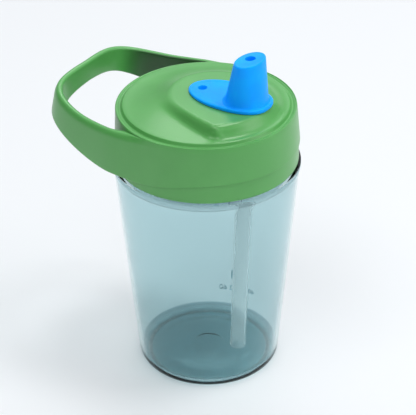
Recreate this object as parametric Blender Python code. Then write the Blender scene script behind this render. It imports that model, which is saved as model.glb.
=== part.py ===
"""Straw cup for a child: a tapered clear cup with a screw lid, a carry loop and a soft spout.

Units are metres and +Z is up. The origin is on the cup's axis, in the plane that its foot stands on.
+X points from the axis towards the spout, so the carry loop reaches out along -X.
"""
import math

import bmesh
import bpy
from mathutils import Matrix, Vector

# ---------------------------------------------------------------- driving dimensions

# Fits between pieces
SEAT_GAP = 0.0003           # between pieces that rest on or in each other
THREAD_GAP = 0.0004         # between a thread's crest and the wall it faces

# Cup
FOOT_RADIUS = 0.0299        # outside of the wall, carried down to the foot plane
SHOULDER_RADIUS = 0.0386    # outside of the bead at the shoulder
SHOULDER_HEIGHT = 0.0953    # ledge that the lid's heights are counted from
BEAD_HEIGHT = 0.0022        # bead round the shoulder
BEAD_PROUD = 0.0003         # how far the bead stands out of the wall
FOOT_ROUND = 0.0022
FOOT_WIDTH = 0.0042         # flat ring that the cup stands on
BASE_RECESS = 0.0006        # underside inside the foot ring
BASE_THICKNESS = 0.0034
GATE_RADIUS = 0.0065        # moulding gate's round mark in the floor
GATE_STEP = 0.0003
WALL_BOTTOM = 0.0024
WALL_TOP = 0.0021
NECK_STEP = 0.0050          # the neck stands back this far from the bead
NECK_WALL = 0.0022
NECK_HEIGHT = 0.0199        # from the ledge to the drinking rim
INNER_CORNER = 0.0030

# Screw thread, single start
THREAD_LEAD = 0.0045
THREAD_DEPTH = 0.0013
THREAD_ROOT = 0.0021        # width where a thread leaves its wall
THREAD_CREST = 0.0010
THREAD_SUNK = 0.0004        # how deep a thread is rooted in its wall
THREAD_TURNS = 1.2
THREAD_RUNOUT = 30.0        # degrees over which a thread's end fades out
THREAD_START = 0.0038       # first thread's centre above the ledge

# Lid
LID_HEM = 0.0010            # from the ledge up to the lid's lower edge
LID_SETBACK = 0.0011        # the skirt stands back this far from the cup's bead
LID_DRAFT = 0.0012          # the skirt is this much narrower at its top
LID_EDGE = 0.0024           # height over which the skirt rounds into the rim
GROOVE_RISE = 0.0243        # floor of the groove inside the rim, above the ledge
RIM_PROUD = 0.0006          # rim above the groove's floor
RIM_WIDTH = 0.0014
DECK_RISE = 0.0307          # raised deck that carries the spout, above the ledge
DECK_EDGE_INSET = 0.0044    # deck's outer edge, inside the skirt's radius
DECK_EDGE_DROP = 0.0050     # how far the deck's edge lies below its top
DECK_EDGE_ROUND = 0.0003
DECK_WALL = 0.0020

# Fall of the deck to its edge: a steep wall under the spout, a wide slope on the far side
WALL_START = 0.0290         # the deck is level inside this radius
WALL_WIDTH = 0.0013
WALL_ANGLE = -25.0          # the wall is steep up to this angle
SLOPE_ANGLE = 60.0          # and reaches the deck's edge from this angle on
LEDGE_RISE = 0.0003         # ledge at the wall's foot, above the deck's edge
SEAL_WIDTH = 0.0030
SEAL_THICKNESS = 0.0018
CENTRING_DEPTH = 0.0050     # ring that guides the lid into the neck
CENTRING_WALL = 0.0013
CENTRING_GAP = 0.0004

# Spiral step in the deck, clockwise from its high end
STEP_ANGLE = -46.0
CREST_RADIUS = 0.0140
CREST_FLARE = 0.0162        # extra radius at the high end
CREST_FLARE_DECAY = 27.0
CREST_OPENING_START = 100.0  # from here the crest runs out towards the wall, which it meets at the limit
CREST_OPENING_POWER = 2.2
SWIRL_LIMIT = 300.0
STEP_WIDTH = 0.0014
STEP_WIDENING = 0.0049      # extra width where the step has faded into the slope
STEP_WIDENING_START = 20.0
STEP_FADE_START = 60.0
STEP_FADE_END = 110.0
RAMP_RISE = 0.0036          # height that the ramp's inner side has climbed at the fade's end
STEP_SOFTNESS = 0.6         # 0 is a plain bevel, 1 is rounded at crest and foot
LEDGE_MINIMUM = 0.0005
SLOPE_BEND_START = 200.0    # from here the slope bends more and more into the wall's curve

# Carry loop, one band with the lid's rim
BAND_PROUD = 0.0003         # how far the band stands out of the skirt
BAND_DRAFT = 0.0012         # its outside leans in this much over its height
BAND_CROWN = 0.0024         # height over which the band's outside rounds into its top
BAND_RISE = 0.0250          # top edge above the ledge
BAND_THICKNESS = 0.0013
BAND_LOWER_FRONT = 0.0092   # lower edge above the ledge, under the spout
BAND_LOWER_ROOT = 0.0038    # and where the loop leaves the lid
LOOP_REACH = 0.0615         # outside of the grip's top edge, from the axis
LOOP_SAG = 0.0026           # the top edge dips this much on the way out
LOOP_LIFT = 0.0051          # and rises again at the grip
GRIP_RISE = 0.0148          # the lower edge rises this much to the grip
GRIP_SPREAD = 0.0018        # the grip's outside flares out this much to its lower edge
LOOP_THICKNESS = 0.0033
LOOP_DRAFT = 0.3            # share of the band's draft that is left on the loop
LOOP_TAPER = 0.0005         # extra thickness of the loop at its lower edge
ROOT_WEB = 0.0012           # extra thickness where the loop leaves the lid
ROOT_WEB_PLACE = 0.17       # and where that is, as a share of the way out to the grip
ROOT_WEB_REACH = 0.06
EDGE_ROUND = 0.0011

# Plan of the loop: nearly straight sides up to a bend, then one curve round to the grip
BEND_OUT = 0.413            # place of the bend, as a share of the loop's reach
BEND_WIDE = 0.965           # and of the band's radius
BEND_ANGLE = math.radians(10.7)  # how far the sides have turned in at the bend
ROOT_PULL = 0.12            # straightness of the side at its two ends, in shares of the reach
BEND_PULL = 0.10
CORNER_PULL = 0.704         # fullness of the corner, in shares of the reach and of the radius
GRIP_PULL = 0.508

# Spans over which the band changes, in shares of the way out to the grip
LOOP_SAG_SPAN = (-0.15, 0.45)
LOOP_LIFT_SPAN = (0.47, 1.0)
GRIP_RISE_SPAN = (0.26, 1.02)
GRIP_SPREAD_SPAN = (0.30, 0.80)
LOOP_GROW_SPAN = (-0.05, 0.16)
LOOP_DRAFT_SPAN = (0.0, 0.25)
LOOP_TAPER_SPAN = (0.0, 0.30)
BAND_LOWER_SPAN = (0.025, -0.015)  # along X, from the front of the lid to its back
BORE_COVER = 0.0006         # wall left between the lid's bore and the band's inner face

# Soft spout
PLATE_CENTRE = 0.0113
PLATE_HALF_LENGTH = 0.0182
PLATE_HALF_WIDTH = 0.0107
PLATE_BLUNTNESS = 2.85       # superellipse power of the spout end, 2 is an ellipse
PLATE_BEAD = 0.0009         # bead's height above the plate's underside, at the vent
PLATE_RISE = 0.0008         # the bead gets this much higher towards the spout
PLATE_DISH = 0.0004
PLATE_LAP = 0.0021          # how far the plate covers the deck round the opening
CONE_FOOT_X = 0.0193
CONE_FOOT_RADIUS = 0.0085
CONE_FILLET = 0.0010
CONE_TOP_X = 0.0206
CONE_TOP_HALF_DEPTH = 0.0042
CONE_TOP_HALF_WIDTH = 0.0081
CONE_HEIGHT = 0.0171        # from the plate to the middle of the slanted top
CONE_SLANT = -0.31          # slope of the top, falling towards +X
CONE_EDGE = 0.0006
SPOUT_WALL = 0.0019
DRINK_HALF_WIDTH = 0.0024
DRINK_HALF_DEPTH = 0.0011
VENT_X = -0.0016
VENT_RADIUS = 0.0018
VENT_TUBE_RADIUS = 0.0026
PLUG_DEPTH = 0.0042
PLUG_WALL = 0.0022
PLUG_RIB = 0.0003
COLLAR_DEPTH = 0.0034       # collar round the opening, below the deck
COLLAR_WALL = 0.0015

# Straw
STRAW_RADIUS = 0.0034
STRAW_WALL = 0.0008
STRAW_LEAN = 1.8            # degrees, foot towards the cup's axis
STRAW_FOOT = 0.0071         # lower end above the foot plane
STRAW_SOCKET = 0.0110
SLEEVE_WALL = 0.0017

# Roundness
CUP_SEGMENTS = 64
LID_SEGMENTS = 54
STEP_SEGMENTS = 20          # extra ones across the spiral step
SPOUT_SEGMENTS = 36
TUBE_SEGMENTS = 20
FRONT_STEPS = 14            # quarter of the band round the lid's front
SIDE_STEPS = 5
CORNER_STEPS = 20
LEVEL_RINGS = (0.40, 0.70, 0.86, 0.95, 1.0)   # rings of the lid's top, from the axis to the crest
FALL_RINGS = (0.16, 0.38, 0.62, 0.84, 1.0)    # down the wall or step
SLOPE_RINGS = (0.2, 0.6, 1.0)                 # and on to the deck's edge
SHARP_ANGLE = 32.0          # degrees between two faces, past which their edge is shaded sharp

# ---------------------------------------------------------------- sizes that follow

FLANK_TOP = SHOULDER_HEIGHT - BEAD_HEIGHT
FLANK_TOP_RADIUS = SHOULDER_RADIUS - BEAD_PROUD
NECK_RADIUS = SHOULDER_RADIUS - NECK_STEP
RIM_HEIGHT = SHOULDER_HEIGHT + NECK_HEIGHT
NECK_BORE = NECK_RADIUS - NECK_WALL
THREAD_RADIUS = NECK_RADIUS + THREAD_DEPTH
LID_BOTTOM = SHOULDER_HEIGHT + LID_HEM
LID_RADIUS = SHOULDER_RADIUS - LID_SETBACK
LID_TOP = SHOULDER_HEIGHT + GROOVE_RISE
DECK_TOP = SHOULDER_HEIGHT + DECK_RISE
DECK_EDGE_TOP = DECK_TOP - DECK_EDGE_DROP
DECK_EDGE_RADIUS = LID_RADIUS - DECK_EDGE_INSET
WALL_FOOT = WALL_START + WALL_WIDTH
BAND_RADIUS = LID_RADIUS + BAND_PROUD
LID_BORE = THREAD_RADIUS + THREAD_GAP
SEAL_BOTTOM = RIM_HEIGHT + SEAT_GAP
SEAL_SEAT = SEAL_BOTTOM + SEAL_THICKNESS + SEAT_GAP
CENTRING_RADIUS = NECK_BORE - CENTRING_GAP
PLATE_BOTTOM = DECK_TOP + SEAT_GAP
PLATE_TOP = PLATE_BOTTOM + PLATE_BEAD
DISH_TOP = PLATE_TOP - PLATE_DISH
CONE_FOOT_Z = PLATE_TOP + PLATE_RISE
CONE_TOP_Z = CONE_FOOT_Z + CONE_HEIGHT
SOCKET_RADIUS = STRAW_RADIUS + SEAT_GAP
SOCKET_TOP = DECK_TOP - DECK_WALL
SLEEVE_RADIUS = SOCKET_RADIUS + SLEEVE_WALL

COLOURS = {
    "cup": ((0.27, 0.45, 0.47), 0.08, 0.45),
    "lid": ((0.13, 0.42, 0.12), 0.38, 1.0),
    "seal": ((0.80, 0.83, 0.84), 0.55, 1.0),
    "spout": ((0.01, 0.34, 0.95), 0.50, 1.0),
    "straw": ((0.75, 0.82, 0.82), 0.22, 0.50),
}


# ---------------------------------------------------------------- small tools

def smooth(value):
    """Ease from 0 to 1 with level ends."""
    value = min(max(value, 0.0), 1.0)
    return value * value * (3.0 - 2.0 * value)


def mix(low, high, share):
    return low + (high - low) * share


def eased(value, span):
    """0 before a span and 1 after it, smooth between."""
    return smooth((value - span[0]) / (span[1] - span[0]))


def rounded(corners, steps=2):
    """Turn (radius, height, fillet) corners into a profile with arcs at the fillets."""
    points = []
    for index, (r, z, fillet) in enumerate(corners):
        here = Vector((r, z))
        if fillet == 0.0:
            points.append(here)
            continue
        before = Vector(corners[index - 1][:2]) - here
        after = Vector(corners[(index + 1) % len(corners)][:2]) - here
        half = before.angle(after) / 2.0
        reach = min(fillet / math.tan(half), before.length * 0.48, after.length * 0.48)
        start = here + before.normalized() * reach
        end = here + after.normalized() * reach
        for step in range(steps + 1):
            share = step / steps
            outer = mix(start, here, share)
            points.append(mix(outer, mix(here, end, share), share))
    return [(point.x, point.y) for point in points]


def new_object(name, mesh_maker, finish):
    """Fill a bmesh with mesh_maker and place it in the scene as a smooth-shaded object."""
    bm = bmesh.new()
    mesh_maker(bm)
    bmesh.ops.recalc_face_normals(bm, faces=bm.faces)
    mesh = bpy.data.meshes.new(name)
    bm.to_mesh(mesh)
    bm.free()
    obj = bpy.data.objects.new(name, mesh)
    shade(obj)
    bpy.context.scene.collection.objects.link(obj)
    if finish:
        mesh.materials.append(make_material(finish))
    return obj


def shade(obj):
    """Smooth shading, broken at the sharp edges."""
    obj.data.shade_smooth()
    obj.data.set_sharp_from_angle(angle=math.radians(SHARP_ANGLE))


def make_material(finish):
    """One Principled material for each finish, made on first use."""
    material = bpy.data.materials.get(finish)
    if material:
        return material
    colour, roughness, alpha = COLOURS[finish]
    material = bpy.data.materials.new(finish)
    material.use_nodes = True
    shader = material.node_tree.nodes["Principled BSDF"]
    shader.inputs["Base Color"].default_value = (*colour, 1.0)
    shader.inputs["Roughness"].default_value = roughness
    shader.inputs["Metallic"].default_value = 0.0
    shader.inputs["Alpha"].default_value = alpha
    material.diffuse_color = (*colour, alpha)
    return material


def turn(bm, profile, segments, closed):
    """Spin a (radius, height) profile round the Z axis into a closed body."""
    verts = [bm.verts.new((r, 0.0, z)) for r, z in profile]
    edges = [bm.edges.new(pair) for pair in zip(verts, verts[1:])]
    if closed:
        edges.append(bm.edges.new((verts[-1], verts[0])))
    bmesh.ops.spin(
        bm, geom=verts + edges, cent=(0.0, 0.0, 0.0), axis=(0.0, 0.0, 1.0),
        angle=math.tau, steps=segments, use_merge=True,
    )
    bmesh.ops.remove_doubles(bm, verts=bm.verts, dist=1e-7)


def loft(bm, loops, join_ends=False):
    """Skin a row of equal point loops. The ends are capped, or joined into a ring."""
    rows = [[bm.verts.new(point) for point in loop] for loop in loops]
    pairs = list(zip(rows, rows[1:]))
    if join_ends:
        pairs.append((rows[-1], rows[0]))
    for low, high in pairs:
        for index in range(len(low)):
            after = (index + 1) % len(low)
            bm.faces.new((low[index], low[after], high[after], high[index]))
    if not join_ends:
        bm.faces.new(rows[0])
        bm.faces.new(rows[-1])


def combine(target, other, operation):
    """Unite with, or cut by, another object, and keep the result as the target's own mesh."""
    modifier = target.modifiers.new(operation.lower(), "BOOLEAN")
    modifier.object = other
    modifier.operation = operation
    modifier.solver = "EXACT"
    graph = bpy.context.evaluated_depsgraph_get()
    mesh = bpy.data.meshes.new_from_object(target.evaluated_get(graph))
    target.modifiers.remove(modifier)
    old_mesh = target.data
    mesh.name = target.name
    target.data = mesh
    bpy.data.meshes.remove(old_mesh)
    bpy.data.objects.remove(other)
    clean = bmesh.new()
    clean.from_mesh(mesh)
    bmesh.ops.remove_doubles(clean, verts=clean.verts, dist=5e-7)
    bmesh.ops.dissolve_degenerate(clean, edges=clean.edges, dist=1e-7)
    clean.to_mesh(mesh)
    clean.free()
    shade(target)


# ---------------------------------------------------------------- screw thread

def thread_ridge(wall_radius, outward, first_height):
    """Helical ridge on a wall. It is rooted in the wall and fades out at both ends."""
    steps = round(THREAD_TURNS * CUP_SEGMENTS)
    side = 1.0 if outward else -1.0
    loops = []
    for step in range(steps + 1):
        angle = THREAD_TURNS * 360.0 * step / steps
        end = min(angle, THREAD_TURNS * 360.0 - angle)
        fade = mix(0.12, 1.0, smooth(end / THREAD_RUNOUT))
        middle = first_height + THREAD_LEAD * angle / 360.0
        crest = wall_radius + side * THREAD_DEPTH * fade
        root = wall_radius - side * THREAD_SUNK
        half_root = THREAD_ROOT / 2.0 * mix(0.6, 1.0, fade)
        half_crest = THREAD_CREST / 2.0 * fade
        section = (
            (root, middle - half_root), (crest, middle - half_crest),
            (crest, middle + half_crest), (root, middle + half_root),
        )
        turned = math.radians(angle)
        loops.append([(r * math.cos(turned), r * math.sin(turned), z) for r, z in section])
    return new_object("thread_tool", lambda bm: loft(bm, loops), None)


# ---------------------------------------------------------------- cup

def flank_radius(height):
    """Outside of the tapered wall at a height."""
    return mix(FOOT_RADIUS, FLANK_TOP_RADIUS, height / FLANK_TOP)


def make_cup():
    """Tumbler with a foot ring, a beaded shoulder and a threaded neck, as one moulding."""
    floor = BASE_RECESS + BASE_THICKNESS
    foot_inner = FOOT_RADIUS - FOOT_ROUND - FOOT_WIDTH
    inner_top = SHOULDER_HEIGHT - 2.0 * WALL_TOP
    outside = [
        (0.0, BASE_RECESS, 0.0),
        (foot_inner - BASE_RECESS, BASE_RECESS, 0.0),
        (foot_inner, 0.0, 0.0),
        (FOOT_RADIUS, 0.0, FOOT_ROUND),
        (FLANK_TOP_RADIUS, FLANK_TOP, 0.0),
        (SHOULDER_RADIUS, FLANK_TOP + BEAD_PROUD, 0.0004),
        (SHOULDER_RADIUS, SHOULDER_HEIGHT, 0.0006),
        (NECK_RADIUS, SHOULDER_HEIGHT, 0.0005),
        (NECK_RADIUS, RIM_HEIGHT, 0.0008),
        (NECK_BORE, RIM_HEIGHT, 0.0006),
    ]
    inside = [
        (NECK_BORE, SHOULDER_HEIGHT + WALL_TOP, 0.0015),
        (flank_radius(inner_top) - WALL_TOP, inner_top, 0.0015),
        (flank_radius(floor) - WALL_BOTTOM, floor, INNER_CORNER),
        (GATE_RADIUS, floor, 0.0),
        (GATE_RADIUS - GATE_STEP, floor - GATE_STEP, 0.0),
        (0.0, floor - GATE_STEP, 0.0),
    ]
    profile = rounded(outside + inside)
    cup = new_object("cup", lambda bm: turn(bm, profile, CUP_SEGMENTS, False), "cup")
    ridge = thread_ridge(NECK_RADIUS, True, SHOULDER_HEIGHT + THREAD_START)
    combine(cup, ridge, "UNION")
    return cup


# ---------------------------------------------------------------- lid: deck with the spiral step

def crest_radius(swirl):
    """Radius of the spiral step's crest, by the angle gone clockwise from its high end."""
    flare = CREST_FLARE * math.exp(-swirl / CREST_FLARE_DECAY)
    gone = (swirl - CREST_OPENING_START) / (SWIRL_LIMIT - CREST_OPENING_START)
    return CREST_RADIUS + flare + (WALL_START - CREST_RADIUS) * max(0.0, gone) ** CREST_OPENING_POWER


def swirl_angle(angle):
    """Degrees clockwise from the step's high end, from SWIRL_LIMIT - 360 to SWIRL_LIMIT."""
    swirl = (STEP_ANGLE - angle) % 360.0
    return swirl - 360.0 if swirl > SWIRL_LIMIT else swirl


def step_foot(swirl):
    """Radius of the step's foot. The step is as wide as planned square to its slanting crest."""
    radius = crest_radius(swirl)
    slope = math.degrees(crest_radius(swirl + 0.5) - crest_radius(swirl - 0.5))
    width = STEP_WIDTH + STEP_WIDENING * eased(swirl, (STEP_WIDENING_START, STEP_FADE_END))
    return min(radius + width * math.hypot(1.0, slope / radius), DECK_EDGE_RADIUS - LEDGE_MINIMUM)


def fall_end(angle):
    """Radius at which the deck has come down to its ledge, at an angle from -180 to 180."""
    if swirl_angle(angle) < 0.0 or angle > 0.0:
        return mix(WALL_FOOT, DECK_EDGE_RADIUS, eased(angle, (WALL_ANGLE, SLOPE_ANGLE)))
    return DECK_EDGE_RADIUS


def deck_height(radius, angle):
    """Height of the lid's top: level deck, steep wall, spiral step and the slope beyond it."""
    swirl = swirl_angle(angle)
    outward = min(max(DECK_EDGE_RADIUS - radius, 0.0) / (DECK_EDGE_RADIUS - WALL_FOOT), 1.0)
    low = DECK_EDGE_TOP + LEDGE_RISE * outward
    if swirl < 0.0:
        return mix(DECK_TOP, low, eased(radius, (WALL_START, fall_end(angle))))
    crest = crest_radius(swirl)
    share = min(max(radius - crest, 0.0) / max(fall_end(angle) - crest, LEDGE_MINIMUM), 1.0)
    bend = eased(swirl, (SLOPE_BEND_START, SWIRL_LIMIT))
    slope = mix(DECK_TOP, low, mix(share, smooth(share), bend))
    fade = eased(swirl, (STEP_FADE_START, STEP_FADE_END))
    if fade >= 1.0:
        return slope
    foot = step_foot(swirl)
    up = min(max(DECK_EDGE_RADIUS - radius, 0.0) / (DECK_EDGE_RADIUS - foot), 1.0)
    ramp = DECK_EDGE_TOP + (LEDGE_RISE + RAMP_RISE * swirl / STEP_FADE_END) * up
    wall = mix(DECK_TOP, low, eased(radius, (WALL_START, WALL_FOOT)))
    share = min(max(radius - crest, 0.0) / (foot - crest), 1.0)
    step = mix(wall, min(ramp, wall), mix(share, smooth(share), STEP_SOFTNESS))
    return mix(step, slope, fade)


def lid_angles():
    """Angles of the lid's mesh in degrees, closer together across the high end of the step."""
    fine_start, fine_end = STEP_ANGLE - 46.0, STEP_ANGLE + 8.0
    fine = [mix(fine_start, fine_end, i / STEP_SEGMENTS) for i in range(STEP_SEGMENTS)]
    coarse_span = fine_start + 360.0 - fine_end
    coarse = [fine_end + coarse_span * i / LID_SEGMENTS for i in range(LID_SEGMENTS)]
    return fine + coarse


def deck_rings(angle):
    """Radii of the top surface's rings at an angle: level part, wall or step, and slope."""
    swirl = swirl_angle(angle)
    crest, foot = WALL_START, fall_end(angle)
    if swirl >= 0.0:
        crest = min(crest_radius(swirl), WALL_START)
        midway = mix(crest, fall_end(angle), 0.5)
        foot = mix(min(step_foot(swirl), WALL_FOOT), midway, eased(swirl, (STEP_FADE_END, SLOPE_BEND_START)))
        foot = mix(foot, fall_end(angle), eased(swirl, (SLOPE_BEND_START, SWIRL_LIMIT)))
    foot = min(foot, DECK_EDGE_RADIUS - 2.0 * LEDGE_MINIMUM)
    level = [crest * share for share in LEVEL_RINGS]
    fall = [mix(crest, foot, share) for share in FALL_RINGS]
    slope = [mix(foot, DECK_EDGE_RADIUS, share) for share in SLOPE_RINGS]
    return level + fall + slope


def make_lid_shell():
    """Skirt, seal seat, centring ring and deck as one closed skin of rings."""
    angles = lid_angles()
    skirt_top = LID_RADIUS - LID_DRAFT
    centring_bore = CENTRING_RADIUS - CENTRING_WALL
    rim_top = LID_TOP + RIM_PROUD
    outer_skirt = [
        (DECK_EDGE_RADIUS + DECK_EDGE_ROUND, DECK_EDGE_TOP - DECK_EDGE_ROUND),
        (DECK_EDGE_RADIUS + 2.0 * DECK_EDGE_ROUND, LID_TOP + DECK_EDGE_ROUND),
        (DECK_EDGE_RADIUS + 4.0 * DECK_EDGE_ROUND, LID_TOP),
        (skirt_top - RIM_WIDTH - DECK_EDGE_ROUND, LID_TOP + 0.2 * RIM_PROUD),
        (skirt_top - 0.8 * RIM_WIDTH, rim_top - 0.1 * RIM_PROUD), (skirt_top - 0.5 * RIM_WIDTH, rim_top),
        (skirt_top, rim_top - 0.4 * LID_EDGE), (skirt_top + 0.0001, rim_top - LID_EDGE),
        (LID_RADIUS - 0.0001, SHOULDER_HEIGHT + BAND_LOWER_FRONT), (LID_RADIUS, LID_BOTTOM + 0.0006),
        (LID_RADIUS - 0.0004, LID_BOTTOM),
    ]
    inner_skirt = [
        (LID_BORE + 0.0006, LID_BOTTOM), (LID_BORE, LID_BOTTOM + 0.0008),
        (LID_BORE, SEAL_SEAT), (CENTRING_RADIUS, SEAL_SEAT),
        (CENTRING_RADIUS, SEAL_SEAT - CENTRING_DEPTH + 0.0004),
        (CENTRING_RADIUS - 0.0004, SEAL_SEAT - CENTRING_DEPTH),
        (centring_bore, SEAL_SEAT - CENTRING_DEPTH),
    ]

    def polar(radius, height, angle):
        turned = math.radians(angle)
        return (radius * math.cos(turned), radius * math.sin(turned), height)

    top = []
    for index in range(len(deck_rings(0.0))):
        ring = []
        for angle in angles:
            radius = deck_rings(angle)[index]
            ring.append(polar(radius, deck_height(radius, angle), angle))
        top.append(ring)
    sides = [[polar(r, z, angle) for angle in angles] for r, z in outer_skirt + inner_skirt]
    under = []
    for share in (1.0, 0.97, 0.88, 0.76, 0.62, 0.45):
        radius = centring_bore * share
        ring = [polar(radius, deck_height(radius, a) - DECK_WALL, a) for a in angles]
        under.append(ring)
    return new_object("lid", lambda bm: loft(bm, top + sides + under), "lid")


# ---------------------------------------------------------------- lid: rim band and carry loop

def bezier(points, share):
    """Point on a cubic Bezier curve."""
    rest = 1.0 - share
    weights = (rest ** 3, 3.0 * share * rest ** 2, 3.0 * share ** 2 * rest, share ** 3)
    return sum((Vector(p) * w for p, w in zip(points, weights)), Vector((0.0, 0.0)))


def band_path():
    """Outer top edge of the band in plan, with each point's share of the way out to the grip.

    Half a circle round the lid, where the share is negative, then the loop, closed.
    """
    radius = BAND_RADIUS - BAND_DRAFT
    root = Vector((0.0, radius))
    bend = Vector((-BEND_OUT * LOOP_REACH, BEND_WIDE * radius))
    grip = Vector((-LOOP_REACH, 0.0))
    heading = Vector((-math.cos(BEND_ANGLE), -math.sin(BEND_ANGLE))) * LOOP_REACH
    side = (root, root - Vector((ROOT_PULL * LOOP_REACH, 0.0)), bend - BEND_PULL * heading, bend)
    corner = (bend, bend + CORNER_PULL * heading, grip + Vector((0.0, GRIP_PULL * radius)), grip)
    out = [bezier(side, i / SIDE_STEPS) for i in range(SIDE_STEPS)]
    out += [bezier(corner, i / CORNER_STEPS) for i in range(CORNER_STEPS + 1)]
    steps = [0.0] + [(b - a).length for a, b in zip(out, out[1:])]
    length = sum(steps)
    front = [math.radians(90.0 * i / FRONT_STEPS) for i in range(FRONT_STEPS)]
    half = [Vector((radius * math.cos(a), radius * math.sin(a))) for a in front]
    shares = [-point.x / length for point in half]
    half += out
    shares += [sum(steps[:i + 1]) / length for i in range(len(out))]
    mirrored = [Vector((p.x, -p.y)) for p in reversed(half[1:-1])]
    return list(zip(half + mirrored, shares + shares[-2:0:-1]))


def band_section(x, share):
    """Top, lower edge, thickness, outside flare and inside taper of the band at a place."""
    top = SHOULDER_HEIGHT + BAND_RISE - LOOP_SAG * eased(share, LOOP_SAG_SPAN)
    top += LOOP_LIFT * eased(share, LOOP_LIFT_SPAN)
    lower = SHOULDER_HEIGHT + mix(BAND_LOWER_FRONT, BAND_LOWER_ROOT, eased(x, BAND_LOWER_SPAN))
    lower += GRIP_RISE * eased(share, GRIP_RISE_SPAN)
    thick = mix(BAND_THICKNESS, LOOP_THICKNESS, eased(share, LOOP_GROW_SPAN))
    thick += ROOT_WEB * math.exp(-((share - ROOT_WEB_PLACE) / ROOT_WEB_REACH) ** 2)
    flare = BAND_DRAFT * mix(1.0, LOOP_DRAFT, eased(share, LOOP_DRAFT_SPAN))
    flare += GRIP_SPREAD * eased(share, GRIP_SPREAD_SPAN)
    return top, lower, thick, flare, LOOP_TAPER * eased(share, LOOP_TAPER_SPAN)


def depth_to_bore(point, inward):
    """How thick the band may be at a point before it would break through into the lid's bore."""
    keep_out = LID_BORE + BORE_COVER
    along = -point.dot(inward)
    aside = math.sqrt(max(point.length_squared - along * along, 0.0))
    if aside >= keep_out:
        return LOOP_REACH
    return along - math.sqrt(keep_out ** 2 - aside ** 2)


def make_band():
    """Rim band that runs on into the carry loop, with rounded edges all the way round."""
    path = band_path()
    loops = []
    for index, (point, share) in enumerate(path):
        ahead = path[(index + 1) % len(path)][0] - path[index - 1][0]
        inward = Vector((-ahead.y, ahead.x)).normalized()
        top, lower, thick, flare, taper = band_section(point.x, share)
        limit = depth_to_bore(point, inward)
        thick = min(thick, limit)
        corner = min(EDGE_ROUND, thick * 0.42)
        crown = min(BAND_CROWN, thick) * 0.36
        section = rounded([
            (-flare, lower, corner), (0.0, top - BAND_CROWN, corner), (crown, top, corner),
            (thick, top, corner), (min(thick + taper, limit), lower, corner),
        ], 1)
        loops.append([(*(point + inward * offset), z) for offset, z in section])
    return new_object("band_tool", lambda bm: loft(bm, loops, join_ends=True), None)


# ---------------------------------------------------------------- egg-shaped opening and plate

def egg(height, inset, rise=0.0):
    """Loop of the spout plate's outline, blunt at the spout and fine at the vent."""
    loop = []
    back = PLATE_CENTRE - PLATE_HALF_LENGTH
    for index in range(SPOUT_SEGMENTS):
        angle = math.tau * (index + 0.5) / SPOUT_SEGMENTS
        across, along = math.sin(angle), math.cos(angle)
        power = 2.0 / (PLATE_BLUNTNESS if along > 0.0 else 2.0)
        x = PLATE_CENTRE + (PLATE_HALF_LENGTH - inset) * math.copysign(abs(along) ** power, along)
        y = (PLATE_HALF_WIDTH - inset) * math.copysign(abs(across) ** power, across)
        loop.append((x, y, height + rise * (x - back) / (2.0 * PLATE_HALF_LENGTH)))
    return loop


def oval(centre_x, height, half_depth, half_width, slant=0.0, segments=SPOUT_SEGMENTS):
    """Elliptic loop round a vertical axis, tilted by a slope along X."""
    loop = []
    for index in range(segments):
        angle = math.tau * index / segments
        x = half_depth * math.cos(angle)
        loop.append((centre_x + x, half_width * math.sin(angle), height + slant * x))
    return loop


def lofted(loops, name="loft_tool", finish=None):
    return new_object(name, lambda bm: loft(bm, loops), finish)


def make_lid():
    """Lid with its internal thread, carry loop and the collared opening for the spout."""
    lid = make_lid_shell()
    first = SHOULDER_HEIGHT + THREAD_START - THREAD_LEAD / 2.0 + THREAD_LEAD
    lid_ridge = thread_ridge(LID_BORE, False, first)
    combine(lid, lid_ridge, "UNION")
    combine(lid, make_band(), "UNION")
    under_deck = DECK_TOP - DECK_WALL
    opening = PLATE_LAP
    collar = lofted([
        egg(under_deck - COLLAR_DEPTH, opening - COLLAR_WALL),
        egg(under_deck + DECK_WALL / 2.0, opening - COLLAR_WALL),
    ])
    combine(lid, collar, "UNION")
    hole = lofted([egg(under_deck - 2.0 * COLLAR_DEPTH, opening), egg(DECK_TOP + 0.01, opening)])
    combine(lid, hole, "DIFFERENCE")
    return lid


# ---------------------------------------------------------------- seal, spout and straw

def make_seal():
    """Flat ring that the neck's rim presses against the lid, with a rounded section."""
    outer = NECK_RADIUS + 0.0008
    inner = outer - SEAL_WIDTH
    top = SEAL_BOTTOM + SEAL_THICKNESS
    section = rounded([
        (inner, SEAL_BOTTOM, 0.0005), (outer, SEAL_BOTTOM, 0.0005),
        (outer, top, 0.0005), (inner, top, 0.0005),
    ], 1)
    return new_object("lid_seal", lambda bm: turn(bm, section, CUP_SEGMENTS, True), "seal")


def cone_loops(inset, from_share, to_share, steps):
    """Loops up the spout: round at the plate, a wide oval at the slanted top."""
    loops = []
    for step in range(steps + 1):
        share = mix(from_share, to_share, step / steps)
        loops.append(oval(
            mix(CONE_FOOT_X, CONE_TOP_X, share),
            mix(CONE_FOOT_Z, CONE_TOP_Z, share),
            mix(CONE_FOOT_RADIUS, CONE_TOP_HALF_DEPTH, share) - inset,
            mix(CONE_FOOT_RADIUS, CONE_TOP_HALF_WIDTH, share) - inset,
            CONE_SLANT * share,
        ))
    return loops


def straw_frame():
    """Frame of the straw: its origin at the socket's top, its +Z up along the straw."""
    lean = Matrix.Rotation(math.radians(STRAW_LEAN), 4, "Y")
    return Matrix.Translation((CONE_FOOT_X, 0.0, SOCKET_TOP)) @ lean


def leaning_tube(profile, name="tube_tool", finish=None, closed=False):
    """Turn a profile round the straw's leaning axis."""
    tube = new_object(name, lambda bm: turn(bm, profile, TUBE_SEGMENTS, closed), finish)
    tube.data.transform(straw_frame())
    return tube


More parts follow.
